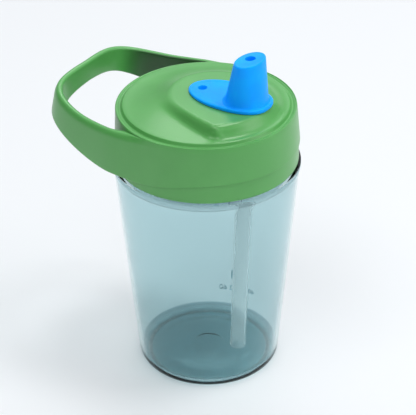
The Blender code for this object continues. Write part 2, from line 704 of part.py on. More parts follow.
def make_spout():
    """Soft spout: beaded plate, hollow cone, plug, straw sleeve and vent tube in one moulding."""
    under_deck = DECK_TOP - DECK_WALL
    plug_bottom = PLATE_BOTTOM - PLUG_DEPTH
    plug = PLATE_LAP + SEAT_GAP
    spout = lofted([
        egg(plug_bottom, plug + 0.0004),
        egg(plug_bottom + 0.0012, plug + PLUG_RIB),
        egg(plug_bottom + 0.0017, plug),
        egg(plug_bottom + 0.0022, plug + PLUG_RIB),
        egg(PLATE_BOTTOM, plug + PLUG_RIB),
        egg(PLATE_BOTTOM, 0.0004),
        egg(PLATE_BOTTOM + 0.0004, 0.0),
        egg(PLATE_TOP - 0.0004, 0.0001, PLATE_RISE),
        egg(PLATE_TOP, 0.0007, PLATE_RISE),
        egg(PLATE_TOP - 0.0001, 0.0012, PLATE_RISE),
        egg(DISH_TOP + 0.0001, 0.0022, PLATE_RISE),
        egg(DISH_TOP, 0.0032, PLATE_RISE),
    ], "spout", "spout")
    well_roof = under_deck
    well = lofted([egg(plug_bottom - 0.005, plug + PLUG_WALL), egg(well_roof, plug + PLUG_WALL)])
    combine(spout, well, "DIFFERENCE")
    fillet_foot = CONE_FOOT_RADIUS + CONE_FILLET
    fillet_waist = CONE_FOOT_RADIUS + 0.3 * CONE_FILLET
    foot = [
        oval(CONE_FOOT_X, PLATE_BOTTOM + 0.0003, fillet_foot, fillet_foot),
        oval(CONE_FOOT_X, DISH_TOP + 0.6 * PLATE_RISE, fillet_foot, fillet_foot),
        oval(CONE_FOOT_X, mix(DISH_TOP + PLATE_RISE, CONE_FOOT_Z, 0.4), fillet_waist, fillet_waist),
    ]
    body = cone_loops(0.0, 0.0, 0.96, 5)
    lip = cone_loops(CONE_EDGE, 1.0, 1.0, 1)[:1]
    combine(spout, lofted(foot + body + lip), "UNION")
    sleeve = leaning_tube(rounded([
        (0.0, 0.0005, 0.0), (SLEEVE_RADIUS, 0.0005, 0.0),
        (SLEEVE_RADIUS, -STRAW_SOCKET, 0.0008), (0.0, -STRAW_SOCKET, 0.0),
    ]))
    combine(spout, sleeve, "UNION")
    vent_bottom = plug_bottom + 0.0006
    vent_tube = lofted([
        oval(VENT_X, vent_bottom, 0.0014, VENT_TUBE_RADIUS, 0.0, TUBE_SEGMENTS),
        oval(VENT_X, vent_bottom + 0.0012, VENT_TUBE_RADIUS, VENT_TUBE_RADIUS, 0.0, TUBE_SEGMENTS),
        oval(VENT_X, well_roof + 0.0005, VENT_TUBE_RADIUS, VENT_TUBE_RADIUS, 0.0, TUBE_SEGMENTS),
    ])
    combine(spout, vent_tube, "UNION")
    socket = leaning_tube([
        (0.0, -STRAW_SOCKET - 0.002), (SOCKET_RADIUS, -STRAW_SOCKET - 0.002),
        (SOCKET_RADIUS, 0.0), (0.0, 0.0),
    ])
    combine(spout, socket, "DIFFERENCE")
    bore = STRAW_RADIUS - STRAW_WALL
    channel = [
        oval(CONE_FOOT_X, SOCKET_TOP - 0.001, bore, bore),
        oval(CONE_FOOT_X, DISH_TOP, bore, bore),
    ]
    channel += cone_loops(SPOUT_WALL, 0.15, 0.88, 3)
    combine(spout, lofted(channel), "DIFFERENCE")
    drink_hole = lofted([
        oval(CONE_TOP_X, CONE_TOP_Z - 0.005, DRINK_HALF_DEPTH, DRINK_HALF_WIDTH, 0.0, TUBE_SEGMENTS),
        oval(CONE_TOP_X, CONE_TOP_Z + 0.005, DRINK_HALF_DEPTH, DRINK_HALF_WIDTH, 0.0, TUBE_SEGMENTS),
    ])
    combine(spout, drink_hole, "DIFFERENCE")
    vent_hole = lofted([
        oval(VENT_X, vent_bottom - 0.001, VENT_RADIUS * 0.4, VENT_RADIUS, 0.0, TUBE_SEGMENTS),
        oval(VENT_X, vent_bottom + 0.0012, VENT_RADIUS, VENT_RADIUS, 0.0, TUBE_SEGMENTS),
        oval(VENT_X, PLATE_TOP + 0.002, VENT_RADIUS, VENT_RADIUS, 0.0, TUBE_SEGMENTS),
    ])
    combine(spout, vent_hole, "DIFFERENCE")
    return spout


def make_straw():
    """Stiff clear tube pushed up into the spout's sleeve."""
    length = (SOCKET_TOP - STRAW_FOOT) / math.cos(math.radians(STRAW_LEAN))
    bore = STRAW_RADIUS - STRAW_WALL
    profile = [
        (bore, -length), (STRAW_RADIUS, -length),
        (STRAW_RADIUS, -SEAT_GAP), (bore, -SEAT_GAP),
    ]
    return leaning_tube(profile, "straw", "straw", closed=True)


# ---------------------------------------------------------------- assembly

def main():
    for old in list(bpy.data.objects):
        bpy.data.objects.remove(old)
    make_cup()
    make_seal()
    make_lid()
    make_spout()
    make_straw()


main()
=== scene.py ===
# %% [markdown]
# A child's straw cup: a clear tapered tumbler, a green screw lid whose rim runs on into a carry
# loop, a soft blue spout pressed through the lid, and a drinking straw. This lesson dresses the
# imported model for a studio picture. Each piece is shaped again with finer meshes than collision
# needs, then given a finish, and rides on the body that it belongs to.

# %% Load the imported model
import math

import bmesh
import bpy
from mathutils import Matrix, Vector


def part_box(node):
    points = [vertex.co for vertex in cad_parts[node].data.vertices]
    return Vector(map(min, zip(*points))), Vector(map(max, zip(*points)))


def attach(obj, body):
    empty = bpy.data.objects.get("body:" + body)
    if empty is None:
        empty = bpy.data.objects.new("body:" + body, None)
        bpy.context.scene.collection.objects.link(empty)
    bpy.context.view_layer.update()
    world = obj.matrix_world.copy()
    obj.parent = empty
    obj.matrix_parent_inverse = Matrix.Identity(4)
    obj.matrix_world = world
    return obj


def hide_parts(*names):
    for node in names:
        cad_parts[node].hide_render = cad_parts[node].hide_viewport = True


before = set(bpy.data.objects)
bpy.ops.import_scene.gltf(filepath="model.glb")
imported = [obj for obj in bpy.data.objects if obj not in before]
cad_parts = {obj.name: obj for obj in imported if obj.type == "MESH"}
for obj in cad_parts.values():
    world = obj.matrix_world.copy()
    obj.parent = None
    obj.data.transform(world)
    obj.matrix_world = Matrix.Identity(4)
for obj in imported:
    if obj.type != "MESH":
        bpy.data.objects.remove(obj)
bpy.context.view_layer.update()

cup_low, cup_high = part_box("cup")
lid_low, lid_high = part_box("lid")
seal_low, seal_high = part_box("lid_seal")
spout_low, spout_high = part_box("spout")
straw_low, straw_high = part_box("straw")
heights = {"cup": cup_high - cup_low, "spout": spout_high - spout_low, "straw": straw_high - straw_low}
print("packed heights:", {name: round(size.z, 4) for name, size in heights.items()})

# %% [markdown]
# The camera stands 0.7 m away and looks down on the lid, so that the cup's sides draw together a
# little towards the foot. Its place is worked out as an orbit: a turn round the cup, a height
# angle, a distance, and a slight pan and roll. A long lens keeps the perspective mild.

# %% Camera on its orbit
CAMERA_DISTANCE = 0.700
CAMERA_HEIGHT_ANGLE = math.radians(32.497)
CAMERA_TURN = math.radians(34.0)
CAMERA_TARGET_HEIGHT = 0.07094
CAMERA_ROLL = math.radians(-0.692)
CAMERA_PAN = math.radians(0.0237)
CAMERA_LENS = 146.18
SENSOR = 36.0


def into_scene(name, data):
    """A new object in the scene, at the origin."""
    made = bpy.data.objects.new(name, data)
    bpy.context.scene.collection.objects.link(made)
    return made


lens = bpy.data.cameras.new("studio_camera")
lens.lens = CAMERA_LENS
lens.sensor_width = SENSOR
lens.clip_start, lens.clip_end = 0.05, 20.0
camera = into_scene("studio_camera", lens)
orbit = Matrix.Rotation(CAMERA_TURN, 4, "Z") @ Matrix.Translation((0.0, 0.0, CAMERA_TARGET_HEIGHT))
orbit @= Matrix.Rotation(math.pi / 2.0 - CAMERA_HEIGHT_ANGLE, 4, "X")
orbit @= Matrix.Translation((0.0, 0.0, CAMERA_DISTANCE))
camera.matrix_world = orbit @ Matrix.Rotation(-CAMERA_PAN, 4, "Y") @ Matrix.Rotation(CAMERA_ROLL, 4, "Z")
bpy.context.scene.camera = camera
print("camera at", [round(value, 3) for value in camera.matrix_world.translation])

# %% [markdown]
# Node trees, both for materials and for Geometry Nodes, are built by small helpers. The first adds
# a node, sets its options, and fills each input with a value or with a link from another node. An
# input is named by its label, or by its number where two inputs share a label. The others stand
# for the few steps that come back in every finish: a product, a climb, a mix and a place.

# %% Helpers for node trees
def add(tree, kind, inputs=None, **options):
    """Add a node. An input may be given a value or another node's output socket."""
    made = tree.nodes.new(kind)
    for key, value in options.items():
        setattr(made, key, value)
    for key, value in (inputs or {}).items():
        if isinstance(value, bpy.types.NodeSocket):
            tree.links.new(value, made.inputs[key])
        else:
            made.inputs[key].default_value = value
    return made


def settle(node, **inputs):
    """Set inputs of a node to plain values."""
    for key, value in inputs.items():
        node.inputs[key.replace("_", " ")].default_value = value


def arith(tree, operation, *values):
    """Output of a Math node."""
    return add(tree, "ShaderNodeMath", dict(enumerate(values)), operation=operation).outputs[0]


def times(tree, one, other):
    """Product of two numbers."""
    return arith(tree, "MULTIPLY", one, other)


def climb(tree, value, start, end, low=0.0, high=1.0, kind="SMOOTHSTEP"):
    """Output that goes from low to high while a value goes from start to end."""
    return add(tree, "ShaderNodeMapRange", {
        "Value": value, "From Min": start, "From Max": end, "To Min": low, "To Max": high},
        interpolation_type=kind).outputs[0]


def between(tree, factor, low, high):
    """Output of a mix of two numbers or two colours."""
    if isinstance(high, tuple):
        return add(tree, "ShaderNodeMix", {0: factor, 6: low, 7: high}, data_type="RGBA").outputs[2]
    return add(tree, "ShaderNodeMix", {0: factor, 2: low, 3: high}, data_type="FLOAT").outputs[0]


def split_place(tree, output="Object"):
    """X, Y and Z outputs of a texture coordinate."""
    place = add(tree, "ShaderNodeTexCoord").outputs[output]
    return add(tree, "ShaderNodeSeparateXYZ", {0: place}).outputs


def new_finish(name):
    """A material with a Principled shader; returns the material, its tree and the shader."""
    material = bpy.data.materials.new(name)
    material.use_nodes = True
    return material, material.node_tree, material.node_tree.nodes["Principled BSDF"]


def from_axis(tree, place):
    """Distance from the cup's axis, of a place that is split into X, Y and Z."""
    flat = add(tree, "ShaderNodeCombineXYZ", {0: place["X"], 1: place["Y"]}).outputs[0]
    return add(tree, "ShaderNodeVectorMath", {0: flat}, operation="LENGTH").outputs["Value"]


# %% [markdown]
# The floor is a wide pale sheet that keeps the cup's soft shadow. It could be a box or a curved
# backdrop, but one flat face is enough, because the world shows its own pale colour behind it.

# %% Floor
FLOOR_SIZE = 8.0
FLOOR_COLOUR = (0.900, 0.915, 0.930, 1.0)

floor_mesh = bpy.data.meshes.new("studio_floor")
half = FLOOR_SIZE / 2.0
corners = [(-half, -half, 0.0), (half, -half, 0.0), (half, half, 0.0), (-half, half, 0.0)]
floor_mesh.from_pydata(corners, [], [(0, 1, 2, 3)])
floor = into_scene("studio_floor", floor_mesh)
floor_paint, tree, shader = new_finish("studio_floor")
settle(shader, Base_Color=FLOOR_COLOUR, Roughness=0.9, Specular_IOR_Level=0.0)
floor_mesh.materials.append(floor_paint)
print("floor", FLOOR_SIZE, "m wide")

# %% [markdown]
# The world is a dome that is pale where it is seen and dimmer where it lights the cup: brighter
# overhead, on the right and behind, so that the clear wall has dark and light edges. Five soft
# lamps stand round the camera's own turn. The back and top lamps draw the bright lines on the rim
# and in the hollow of the lid, the right and left ones light the sides, and the front one fills.

# %% World
WORLD_COLOUR = (0.93, 0.96, 1.0, 1.0)
HORIZON_LEVEL = 0.16
ZENITH_LEVEL = 0.62
ZENITH_START = 0.85
LEFT_LEVEL, RIGHT_LEVEL = 0.45, 1.15
BEHIND_SPAN = (0.25, 0.75)
BEHIND_LEVEL = 2.5
SEEN_LEVEL = 0.90

world = bpy.data.worlds.new("studio_world")
bpy.context.scene.world = world
world.use_nodes = True
dome = world.node_tree
ray = add(dome, "ShaderNodeTexCoord").outputs["Generated"]


def towards(x, y):
    """How far a ray points along a level direction, from -1 to 1."""
    made = add(dome, "ShaderNodeVectorMath", {0: ray, 1: (x, y, 0.0)}, operation="DOT_PRODUCT")
    return made.outputs["Value"]


to_right = towards(math.cos(CAMERA_TURN), math.sin(CAMERA_TURN))
to_back = towards(-math.sin(CAMERA_TURN), math.cos(CAMERA_TURN))
lit = climb(dome, split_place(dome, "Generated")["Z"], 0.0, ZENITH_START, HORIZON_LEVEL, ZENITH_LEVEL)
lit = times(dome, lit, climb(dome, to_right, -1.0, 1.0, LEFT_LEVEL, RIGHT_LEVEL, "LINEAR"))
lit = times(dome, lit, climb(dome, to_back, *BEHIND_SPAN, 1.0, BEHIND_LEVEL))
paths = add(dome, "ShaderNodeLightPath").outputs
straight = arith(dome, "LESS_THAN", paths["Diffuse Depth"], 0.5)
passed = arith(dome, "GREATER_THAN", paths["Transmission Depth"], 0.5)
seen = arith(dome, "MAXIMUM", paths["Is Camera Ray"], times(dome, passed, straight))
level = add(dome, "ShaderNodeMix", {0: seen, 2: lit, 3: SEEN_LEVEL}, data_type="FLOAT")
background = dome.nodes["Background"]
background.inputs["Color"].default_value = WORLD_COLOUR
dome.links.new(level.outputs[0], background.inputs["Strength"])
print("world:", len(dome.nodes), "nodes")

# %% Lamps
LAMP_AIM = Vector((0.0, 0.0, 0.08))


def softbox(name, place, size, power):
    """Area lamp at a place given round the camera's own turn: right, away and up."""
    lamp = bpy.data.lights.new(name, "AREA")
    lamp.shape = "RECTANGLE"
    lamp.size, lamp.size_y = size
    lamp.energy = power
    holder = into_scene(name, lamp)
    stand = Matrix.Rotation(CAMERA_TURN, 3, "Z") @ Vector(place)
    aim = (LAMP_AIM - stand).to_track_quat("-Z", "Y")
    holder.matrix_world = Matrix.LocRotScale(stand, aim, (1.0, 1.0, 1.0))


softbox("back_softbox", (0.10, 1.20, 1.38), (0.70, 0.50), 4.5)
softbox("top_softbox", (0.40, 0.00, 1.40), (0.32, 0.32), 4.7)
softbox("right_softbox", (1.25, -0.35, 0.85), (0.80, 0.80), 4.7)
softbox("left_softbox", (-0.45, -0.45, 1.35), (0.60, 0.60), 2.8)
softbox("front_softbox", (-0.10, -0.80, 1.25), (0.70, 0.60), 1.5)
bpy.context.scene.view_settings.view_transform = "Standard"

# %% [markdown]
# Effects that several finishes share are node groups. Moulded skin is the fine grain that a mould
# leaves, with a slow waviness below it. Handling is what use adds: dull patches and faint smears.
# Edge wear rubs the raised edges a little paler: it reads an attribute that is measured on each
# mesh, which says how sharply the surface turns outwards at each point.

# %% Shared effects as node groups
WEAR_START = 0.12


def effect(name, inputs, outputs):
    """A shader node group with float inputs and outputs; returns the tree and its two ends."""
    tree = bpy.data.node_groups.new(name, "ShaderNodeTree")
    for label, value in inputs.items():
        tree.interface.new_socket(label, in_out="INPUT", socket_type="NodeSocketFloat").default_value = value
    for label in outputs:
        tree.interface.new_socket(label, in_out="OUTPUT", socket_type="NodeSocketFloat")
    return tree, add(tree, "NodeGroupInput"), add(tree, "NodeGroupOutput")


def noise(tree, place, scale, detail, roughness):
    """Output of a Noise texture."""
    return add(tree, "ShaderNodeTexNoise", {
        "Vector": place, "Scale": scale, "Detail": detail, "Roughness": roughness}).outputs[0]


skin, skin_in, skin_out = effect(
    "moulded_skin", {"Grain per metre": 4000.0, "Wave per metre": 60.0, "Wave share": 0.5}, ["Height"])
here = add(skin, "ShaderNodeTexCoord").outputs["Object"]
grain = noise(skin, here, skin_in.outputs["Grain per metre"], 3.0, 0.6)
wave = noise(skin, here, skin_in.outputs["Wave per metre"], 2.0, 0.4)
skin.links.new(between(skin, skin_in.outputs["Wave share"], grain, wave), skin_out.inputs["Height"])

handling, handling_in, handling_out = effect(
    "handling", {"Patch per metre": 45.0, "Smear per metre": 180.0}, ["Patches", "Smears"])
here = add(handling, "ShaderNodeTexCoord").outputs["Object"]
patches = noise(handling, here, handling_in.outputs["Patch per metre"], 4.0, 0.55)
stretched = add(handling, "ShaderNodeMapping", {"Vector": here, "Scale": (1.0, 1.0, 0.25)}).outputs[0]
smears = noise(handling, stretched, handling_in.outputs["Smear per metre"], 5.0, 0.7)
for label, source, low, high in (("Patches", patches, 0.35, 0.70), ("Smears", smears, 0.52, 0.78)):
    handling.links.new(climb(handling, source, low, high), handling_out.inputs[label])

wear, wear_in, wear_out = effect("edge_wear", {"Reach": 0.5, "Break up per metre": 500.0}, ["Mask"])
here = add(wear, "ShaderNodeTexCoord").outputs["Object"]
edge = add(wear, "ShaderNodeAttribute", attribute_name="edge_turn")
breaks = noise(wear, here, wear_in.outputs["Break up per metre"], 4.0, 0.65)
rubbed = times(wear, edge.outputs["Fac"], breaks)
mask = climb(wear, rubbed, WEAR_START, wear_in.outputs["Reach"])
wear.links.new(mask, wear_out.inputs["Mask"])
print("effects:", [group.name for group in bpy.data.node_groups])


def use(tree, group, **inputs):
    """Place an effect in a material's tree with its own values."""
    made = add(tree, "ShaderNodeGroup", node_tree=group)
    settle(made, **inputs)
    return made


def bump(tree, shader, height, strength, distance):
    """Feed a height into the shader's normal."""
    made = add(tree, "ShaderNodeBump", {"Height": height, "Strength": strength, "Distance": distance})
    tree.links.new(made.outputs[0], shader.inputs["Normal"])


def handled(tree, shader, marks, polished, scuffed, smeared):
    """Roughness that goes from polished to scuffed in patches, with smears on top."""
    gloss = between(tree, marks.outputs["Patches"], polished, scuffed)
    gloss = arith(tree, "ADD", gloss, times(tree, marks.outputs["Smears"], smeared))
    tree.links.new(gloss, shader.inputs["Roughness"])

# %% [markdown]
# The lid is moulded in green polypropylene with a satin sheen. Its colour wanders a touch, dull
# patches and small smears change how sharply it shines, and the edges are rubbed paler. Shade is
# painted into the narrow gap where the carry loop leaves the skirt: a mask finds the loop's inward
# faces there and darkens their colour.

# %% Lid finish
LID_GREEN = (0.112, 0.435, 0.104, 1.0)
LID_DEEP = (0.098, 0.402, 0.092, 1.0)
LID_RUBBED = (0.300, 0.620, 0.270, 1.0)
LID_SHADED = (0.004, 0.040, 0.006, 1.0)
RUB_STRENGTH = 0.55
SHADE_STRENGTH = 0.88
SHADE_TURN = (-0.008, -0.022)
SHADE_START = (-0.068, -0.045)
SHADE_OUTSIDE = (0.0366, 0.0376)

lid_finish, tree, shader = new_finish("lid_plastic")
marks = use(tree, handling, Patch_per_metre=40.0, Smear_per_metre=170.0)
rub = use(tree, wear, Reach=0.65, Break_up_per_metre=420.0)
colour = between(tree, marks.outputs["Patches"], LID_DEEP, LID_GREEN)
colour = between(tree, times(tree, rub.outputs["Mask"], RUB_STRENGTH), colour, LID_RUBBED)
place, facing = split_place(tree), split_place(tree, "Normal")
# Painted shade: the loop's inward faces close to the skirt are darkened towards LID_SHADED.
inward = climb(tree, times(tree, facing["Y"], place["Y"]), *SHADE_TURN)
deep = climb(tree, place["X"], *SHADE_START)
outside = climb(tree, from_axis(tree, place), *SHADE_OUTSIDE, kind="LINEAR")
painted_crevice_shade = times(tree, times(tree, inward, deep), outside)
colour = between(tree, times(tree, painted_crevice_shade, SHADE_STRENGTH), colour, LID_SHADED)
tree.links.new(colour, shader.inputs["Base Color"])
handled(tree, shader, marks, 0.30, 0.34, 0.04)
settle(shader, IOR=1.49, Specular_IOR_Level=0.60)
settle(shader, Subsurface_Weight=0.12, Subsurface_Radius=(0.3, 1.0, 0.3), Subsurface_Scale=0.0012)
pores = use(tree, skin, Grain_per_metre=2600.0, Wave_per_metre=90.0, Wave_share=0.45)
bump(tree, shader, pores.outputs["Height"], 0.20, 0.00012)
print(lid_finish.name, "has", len(tree.nodes), "nodes")

# %% [markdown]
# The spout is soft silicone: no hard shine, a fine matt tooth, and the dust specks that silicone
# always picks up. A faint painted glow of its own colour, though the spout is no lamp, stands for
# the light that is scattered inside it. The seal is the same rubber, undyed and without the glow.

# %% Silicone finishes
SPOUT_BLUE = (0.0, 0.370, 0.985, 1.0)
SPOUT_PALE = (0.0, 0.430, 0.995, 1.0)
SPOUT_PAINTED_GLOW = (0.0, 0.14, 1.0, 1.0)
PAINTED_GLOW_STRENGTH = 0.23
DUST = (0.02, 0.14, 0.42, 1.0)
DUST_PER_METRE = 620.0
DUST_EDGE, DUST_CORE = 0.10, 0.04
DUST_RARITY = 0.90
DUST_STRENGTH = 0.7
SEAL_WHITE = (0.78, 0.82, 0.83, 1.0)
SEAL_GREY = (0.66, 0.70, 0.72, 1.0)


def silicone(name, plain, pale, tooth, inner_light):
    """Matt rubber: two close tones, uneven sheen, fine tooth, and a little light inside."""
    material, tree, shader = new_finish(name)
    marks = use(tree, handling, Patch_per_metre=110.0, Smear_per_metre=420.0)
    colour = between(tree, marks.outputs["Patches"], plain, pale)
    tree.links.new(colour, shader.inputs["Base Color"])
    handled(tree, shader, marks, 0.40, 0.50, 0.10)
    settle(shader, IOR=1.42, Specular_IOR_Level=0.22, Subsurface_Weight=inner_light)
    settle(shader, Subsurface_Radius=(0.3, 0.8, 1.0), Subsurface_Scale=0.002)
    height = use(tree, skin, Grain_per_metre=3800.0, Wave_per_metre=220.0, Wave_share=0.35)
    bump(tree, shader, height.outputs["Height"], tooth, 0.00010)
    return material, tree, shader, colour


spout_finish, tree, shader, colour = silicone("spout_silicone", SPOUT_BLUE, SPOUT_PALE, 0.22, 0.20)
cells = add(tree, "ShaderNodeTexVoronoi", {
    "Vector": add(tree, "ShaderNodeTexCoord").outputs["Object"], "Scale": DUST_PER_METRE, "Randomness": 1.0})
speck = climb(tree, cells.outputs["Distance"], DUST_EDGE, DUST_CORE, kind="LINEAR")
chance = add(tree, "ShaderNodeSeparateColor", {"Color": cells.outputs["Color"]}).outputs[0]
dust = times(tree, times(tree, speck, arith(tree, "GREATER_THAN", chance, DUST_RARITY)), DUST_STRENGTH)
tree.links.new(between(tree, dust, colour, DUST), shader.inputs["Base Color"])
# Painted glow: emission in the spout's own blue brightens it, though it is no lamp.
settle(shader, Emission_Color=SPOUT_PAINTED_GLOW, Emission_Strength=PAINTED_GLOW_STRENGTH)
seal_finish = silicone("seal_silicone", SEAL_WHITE, SEAL_GREY, 0.25, 0.25)[0]
print(spout_finish.name, "has", len(tree.nodes), "nodes")

# %% [markdown]
# The tumbler is clear plastic with a smoky teal tint: a Principled shader that lets light through
# and whose base colour tints it once for each wall. Floor, foot and shoulder are tinted deeper,
# partly because the plastic is thick there and partly as painted shade: the shade under the cup
# and inside the lid is darkened into their tint. Lamps would cast a black shadow through it, so a
# Light Path node lets shadow rays pass through a tinted Transparent shader. Scuffs and faint smears
# from washing change its roughness only a little. The straw is the same, almost colourless and milkier.

# %% Clear finishes
CUP_TINT = (0.650, 0.790, 0.808, 1.0)
CUP_FLOOR_TINT_AND_SHADE = (0.160, 0.300, 0.335, 1.0)
CUP_SHOULDER_TINT_AND_SHADE = (0.400, 0.520, 0.530, 1.0)
CUP_SHADOW = (0.84, 0.885, 0.885, 1.0)
STRAW_TINT = (0.99, 1.0, 1.0, 1.0)
STRAW_SHADOW = (0.90, 0.93, 0.93, 1.0)
FLOOR_SPAN = (0.0016, 0.0022)
FOOT_SPAN = (0.0030, 0.0040)
FOOT_RING_SPAN = (0.0286, 0.0278)
SHOULDER_SPAN = (cup_high.z - 0.0226, cup_high.z - 0.0216)
SMEAR_SHARE = 0.4


def clear_plastic(name, tints, shadow, index, clarity, polished, scuffed, wavy):
    """Transmissive plastic that lets lamps through; its tints are for wall, floor and shoulder, and the floor
    and shoulder tints also hold painted shade.
    """
    wall_tint, floor_tint_and_shade, shoulder_tint_and_shade = tints
    material, tree, shader = new_finish(name)
    place = split_place(tree)
    inside_foot = climb(tree, from_axis(tree, place), *FOOT_RING_SPAN, kind="LINEAR")
    off_foot = arith(tree, "MAXIMUM", inside_foot, climb(tree, place["Z"], *FOOT_SPAN))
    thin = times(tree, climb(tree, place["Z"], *FLOOR_SPAN), off_foot)
    # Painted shade: floor and foot are darkened for the shade under the cup, beyond what their thicker
    # plastic gives.
    lower = between(tree, thin, floor_tint_and_shade, wall_tint)
    # Painted shade: the shoulder is darkened for the shade inside the lid.
    tint = between(tree, climb(tree, place["Z"], *SHOULDER_SPAN), lower, shoulder_tint_and_shade)
    tree.links.new(tint, shader.inputs["Base Color"])
    settle(shader, Transmission_Weight=clarity, IOR=index)
    marks = use(tree, handling, Patch_per_metre=55.0, Smear_per_metre=260.0)
    handled(tree, shader, marks, polished, scuffed, scuffed * SMEAR_SHARE)
    ripple = use(tree, skin, Grain_per_metre=1500.0, Wave_per_metre=35.0, Wave_share=0.8)
    bump(tree, shader, ripple.outputs["Height"], wavy, 0.0002)
    clear = add(tree, "ShaderNodeBsdfTransparent", {"Color": shadow})
    path = add(tree, "ShaderNodeLightPath")
    mixed = add(tree, "ShaderNodeMixShader", {
        0: path.outputs["Is Shadow Ray"], 1: shader.outputs[0], 2: clear.outputs[0]})
    tree.links.new(mixed.outputs[0], tree.nodes["Material Output"].inputs["Surface"])
    return material


cup_finish = clear_plastic(
    "clear_cup", (CUP_TINT, CUP_FLOOR_TINT_AND_SHADE, CUP_SHOULDER_TINT_AND_SHADE), CUP_SHADOW, 1.29, 1.0, 0.02, 0.07, 0.06)
straw_finish = clear_plastic(
    "clear_straw", (STRAW_TINT, STRAW_TINT, STRAW_TINT), STRAW_SHADOW, 1.12, 0.84, 0.10, 0.13, 0.01)
print("finishes:", [material.name for material in bpy.data.materials])

# %% [markdown]
# Mesh helpers. Every soft corner of a turned or swept section is a small curve, so that a lamp
# draws a thin clean line on it. A finished mesh is cleaned, its faces are turned outwards, it is
# shaded smooth with sharp edges kept, and how far it turns outwards is stored for the edge wear.

# %% Shape helpers
SHARP_TURN = math.radians(35.0)
MERGE = 5e-7
SLIVER = 1e-7
SHORTEST_LINE = 2e-4
TURN_SCALE = 0.06


def smooth(value):
    value = min(max(value, 0.0), 1.0)
    return value * value * (3.0 - 2.0 * value)


def mix(low, high, share):
    return low + (high - low) * share


def eased(value, span):
    """0 before a span and 1 after it, smooth between."""
    return smooth((value - span[0]) / (span[1] - span[0]))


def polar(radius, height, degrees):
    turned = math.radians(degrees)
    return (radius * math.cos(turned), radius * math.sin(turned), height)


def rounded(corners, steps, closed=False):
    """Points of a (across, up, radius) outline with its corners rounded. Its ends stay sharp."""
    points = []
    count = len(corners)
    for index, (x, z, radius) in enumerate(corners):
        here = Vector((x, z))
        if radius <= 0.0 or (not closed and index in (0, count - 1)):
            points.append((x, z))
            continue
        back = Vector(corners[index - 1][:2]) - here
        ahead = Vector(corners[(index + 1) % count][:2]) - here
        reach = min(radius, 0.49 * back.length, 0.49 * ahead.length)
        start, end = here + back.normalized() * reach, here + ahead.normalized() * reach
        for step in range(steps + 1):
            share = step / steps
            spot = start * (1 - share) ** 2 + here * 2 * share * (1 - share) + end * share ** 2
            points.append((spot.x, spot.y))
    return points


def lofted(name, loops, closed=False):
    """Skin a row of equal point loops into an object, with capped ends or joined into a ring."""
    bm = bmesh.new()
    rows = [[bm.verts.new(point) for point in loop] for loop in loops]
    pairs = list(zip(rows, rows[1:])) + ([(rows[-1], rows[0])] if closed else [])
    for low, high in pairs:
        for index in range(len(low)):
            after = (index + 1) % len(low)
            bm.faces.new((low[index], low[after], high[after], high[index]))
    if not closed:
        bm.faces.new(rows[0])
        bm.faces.new(rows[-1])
    return from_bmesh(name, bm)


def clean(bm):
    """Merge doubles and drop what has no area."""
    bmesh.ops.remove_doubles(bm, verts=bm.verts, dist=MERGE)
    bmesh.ops.dissolve_degenerate(bm, edges=bm.edges, dist=SLIVER)


def evaluated_mesh(made):
    """A new mesh of an object as its modifiers shape it."""
    graph = bpy.context.evaluated_depsgraph_get()
    return bpy.data.meshes.new_from_object(made.evaluated_get(graph))


def from_bmesh(name, bm):
    """Clean, face outwards, and place the mesh in the scene."""
    clean(bm)
    bmesh.ops.recalc_face_normals(bm, faces=bm.faces)
    mesh = bpy.data.meshes.new(name)
    bm.to_mesh(mesh)
    bm.free()
    return into_scene(name, mesh)


def combine(target, other, operation):
    """Unite with, or cut by, another object, which is used up."""
    modifier = target.modifiers.new(operation.lower(), "BOOLEAN")
    modifier.object, modifier.operation, modifier.solver = other, operation, "EXACT"
    mesh = evaluated_mesh(target)
    target.modifiers.remove(modifier)
    target.data = mesh
    bpy.data.objects.remove(other)
    bm = bmesh.new()
    bm.from_mesh(mesh)
    clean(bm)
    bm.to_mesh(mesh)
    bm.free()


def complete(made, material, body, slot, *nodes):
    """Shade, measure the outward turn of the edges, and hand the piece to its body."""
    mesh = made.data
    mesh.name = made.name
    mesh.shade_smooth()
    mesh.set_sharp_from_angle(angle=SHARP_TURN)
    mesh.materials.clear()
    mesh.materials.append(material)
    turn = mesh.attributes.new("edge_turn", "FLOAT", "POINT")
    bm = bmesh.new()
    bm.from_mesh(mesh)
    sums = [[0.0, 0] for _ in bm.verts]
    for line in bm.edges:
        if len(line.link_faces) == 2:
            bend = line.calc_face_angle_signed(0.0)
            for end in line.verts:
                sums[end.index][0] += bend / max(line.calc_length(), SHORTEST_LINE) ** 0.5
                sums[end.index][1] += 1
    for index, (total, count) in enumerate(sums):
        turn.data[index].value = min(max(total / max(count, 1) * TURN_SCALE, 0.0), 1.0)
    triangles = sum(len(face.verts) - 2 for face in bm.faces)
    open_edges = sum(1 for line in bm.edges if len(line.link_faces) != 2)
    bm.free()
    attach(made, body)
    if nodes:
        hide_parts(*nodes)
    print(made.name, triangles, "triangles,", open_edges, "open edges")

# %% [markdown]
# Cup, straw and seal are bodies of revolution: one rule makes them all, so it is a Geometry Nodes
# tree. Its input is a profile drawn as a chain of points in the XZ plane. A grid gets one row for
# each profile point and one column for each step round the axis; every grid point looks up its
# profile point and is turned by its share of the circle. Seam and poles are merged afterwards.

# %% Geometry Nodes: a turned body
def new_shape_tree(name, inputs):
    """A Geometry Nodes group with named inputs and one geometry output."""
    tree = bpy.data.node_groups.new(name, "GeometryNodeTree")
    for label, kind in inputs.items():
        tree.interface.new_socket(label, in_out="INPUT", socket_type="NodeSocket" + kind)
    tree.interface.new_socket("Body", in_out="OUTPUT", socket_type="NodeSocketGeometry")
    return tree, add(tree, "NodeGroupInput").outputs


def geo(tree, kind, inputs=None, **options):
    """First output of a geometry node."""
    return add(tree, "GeometryNode" + kind, inputs, **options).outputs[0]


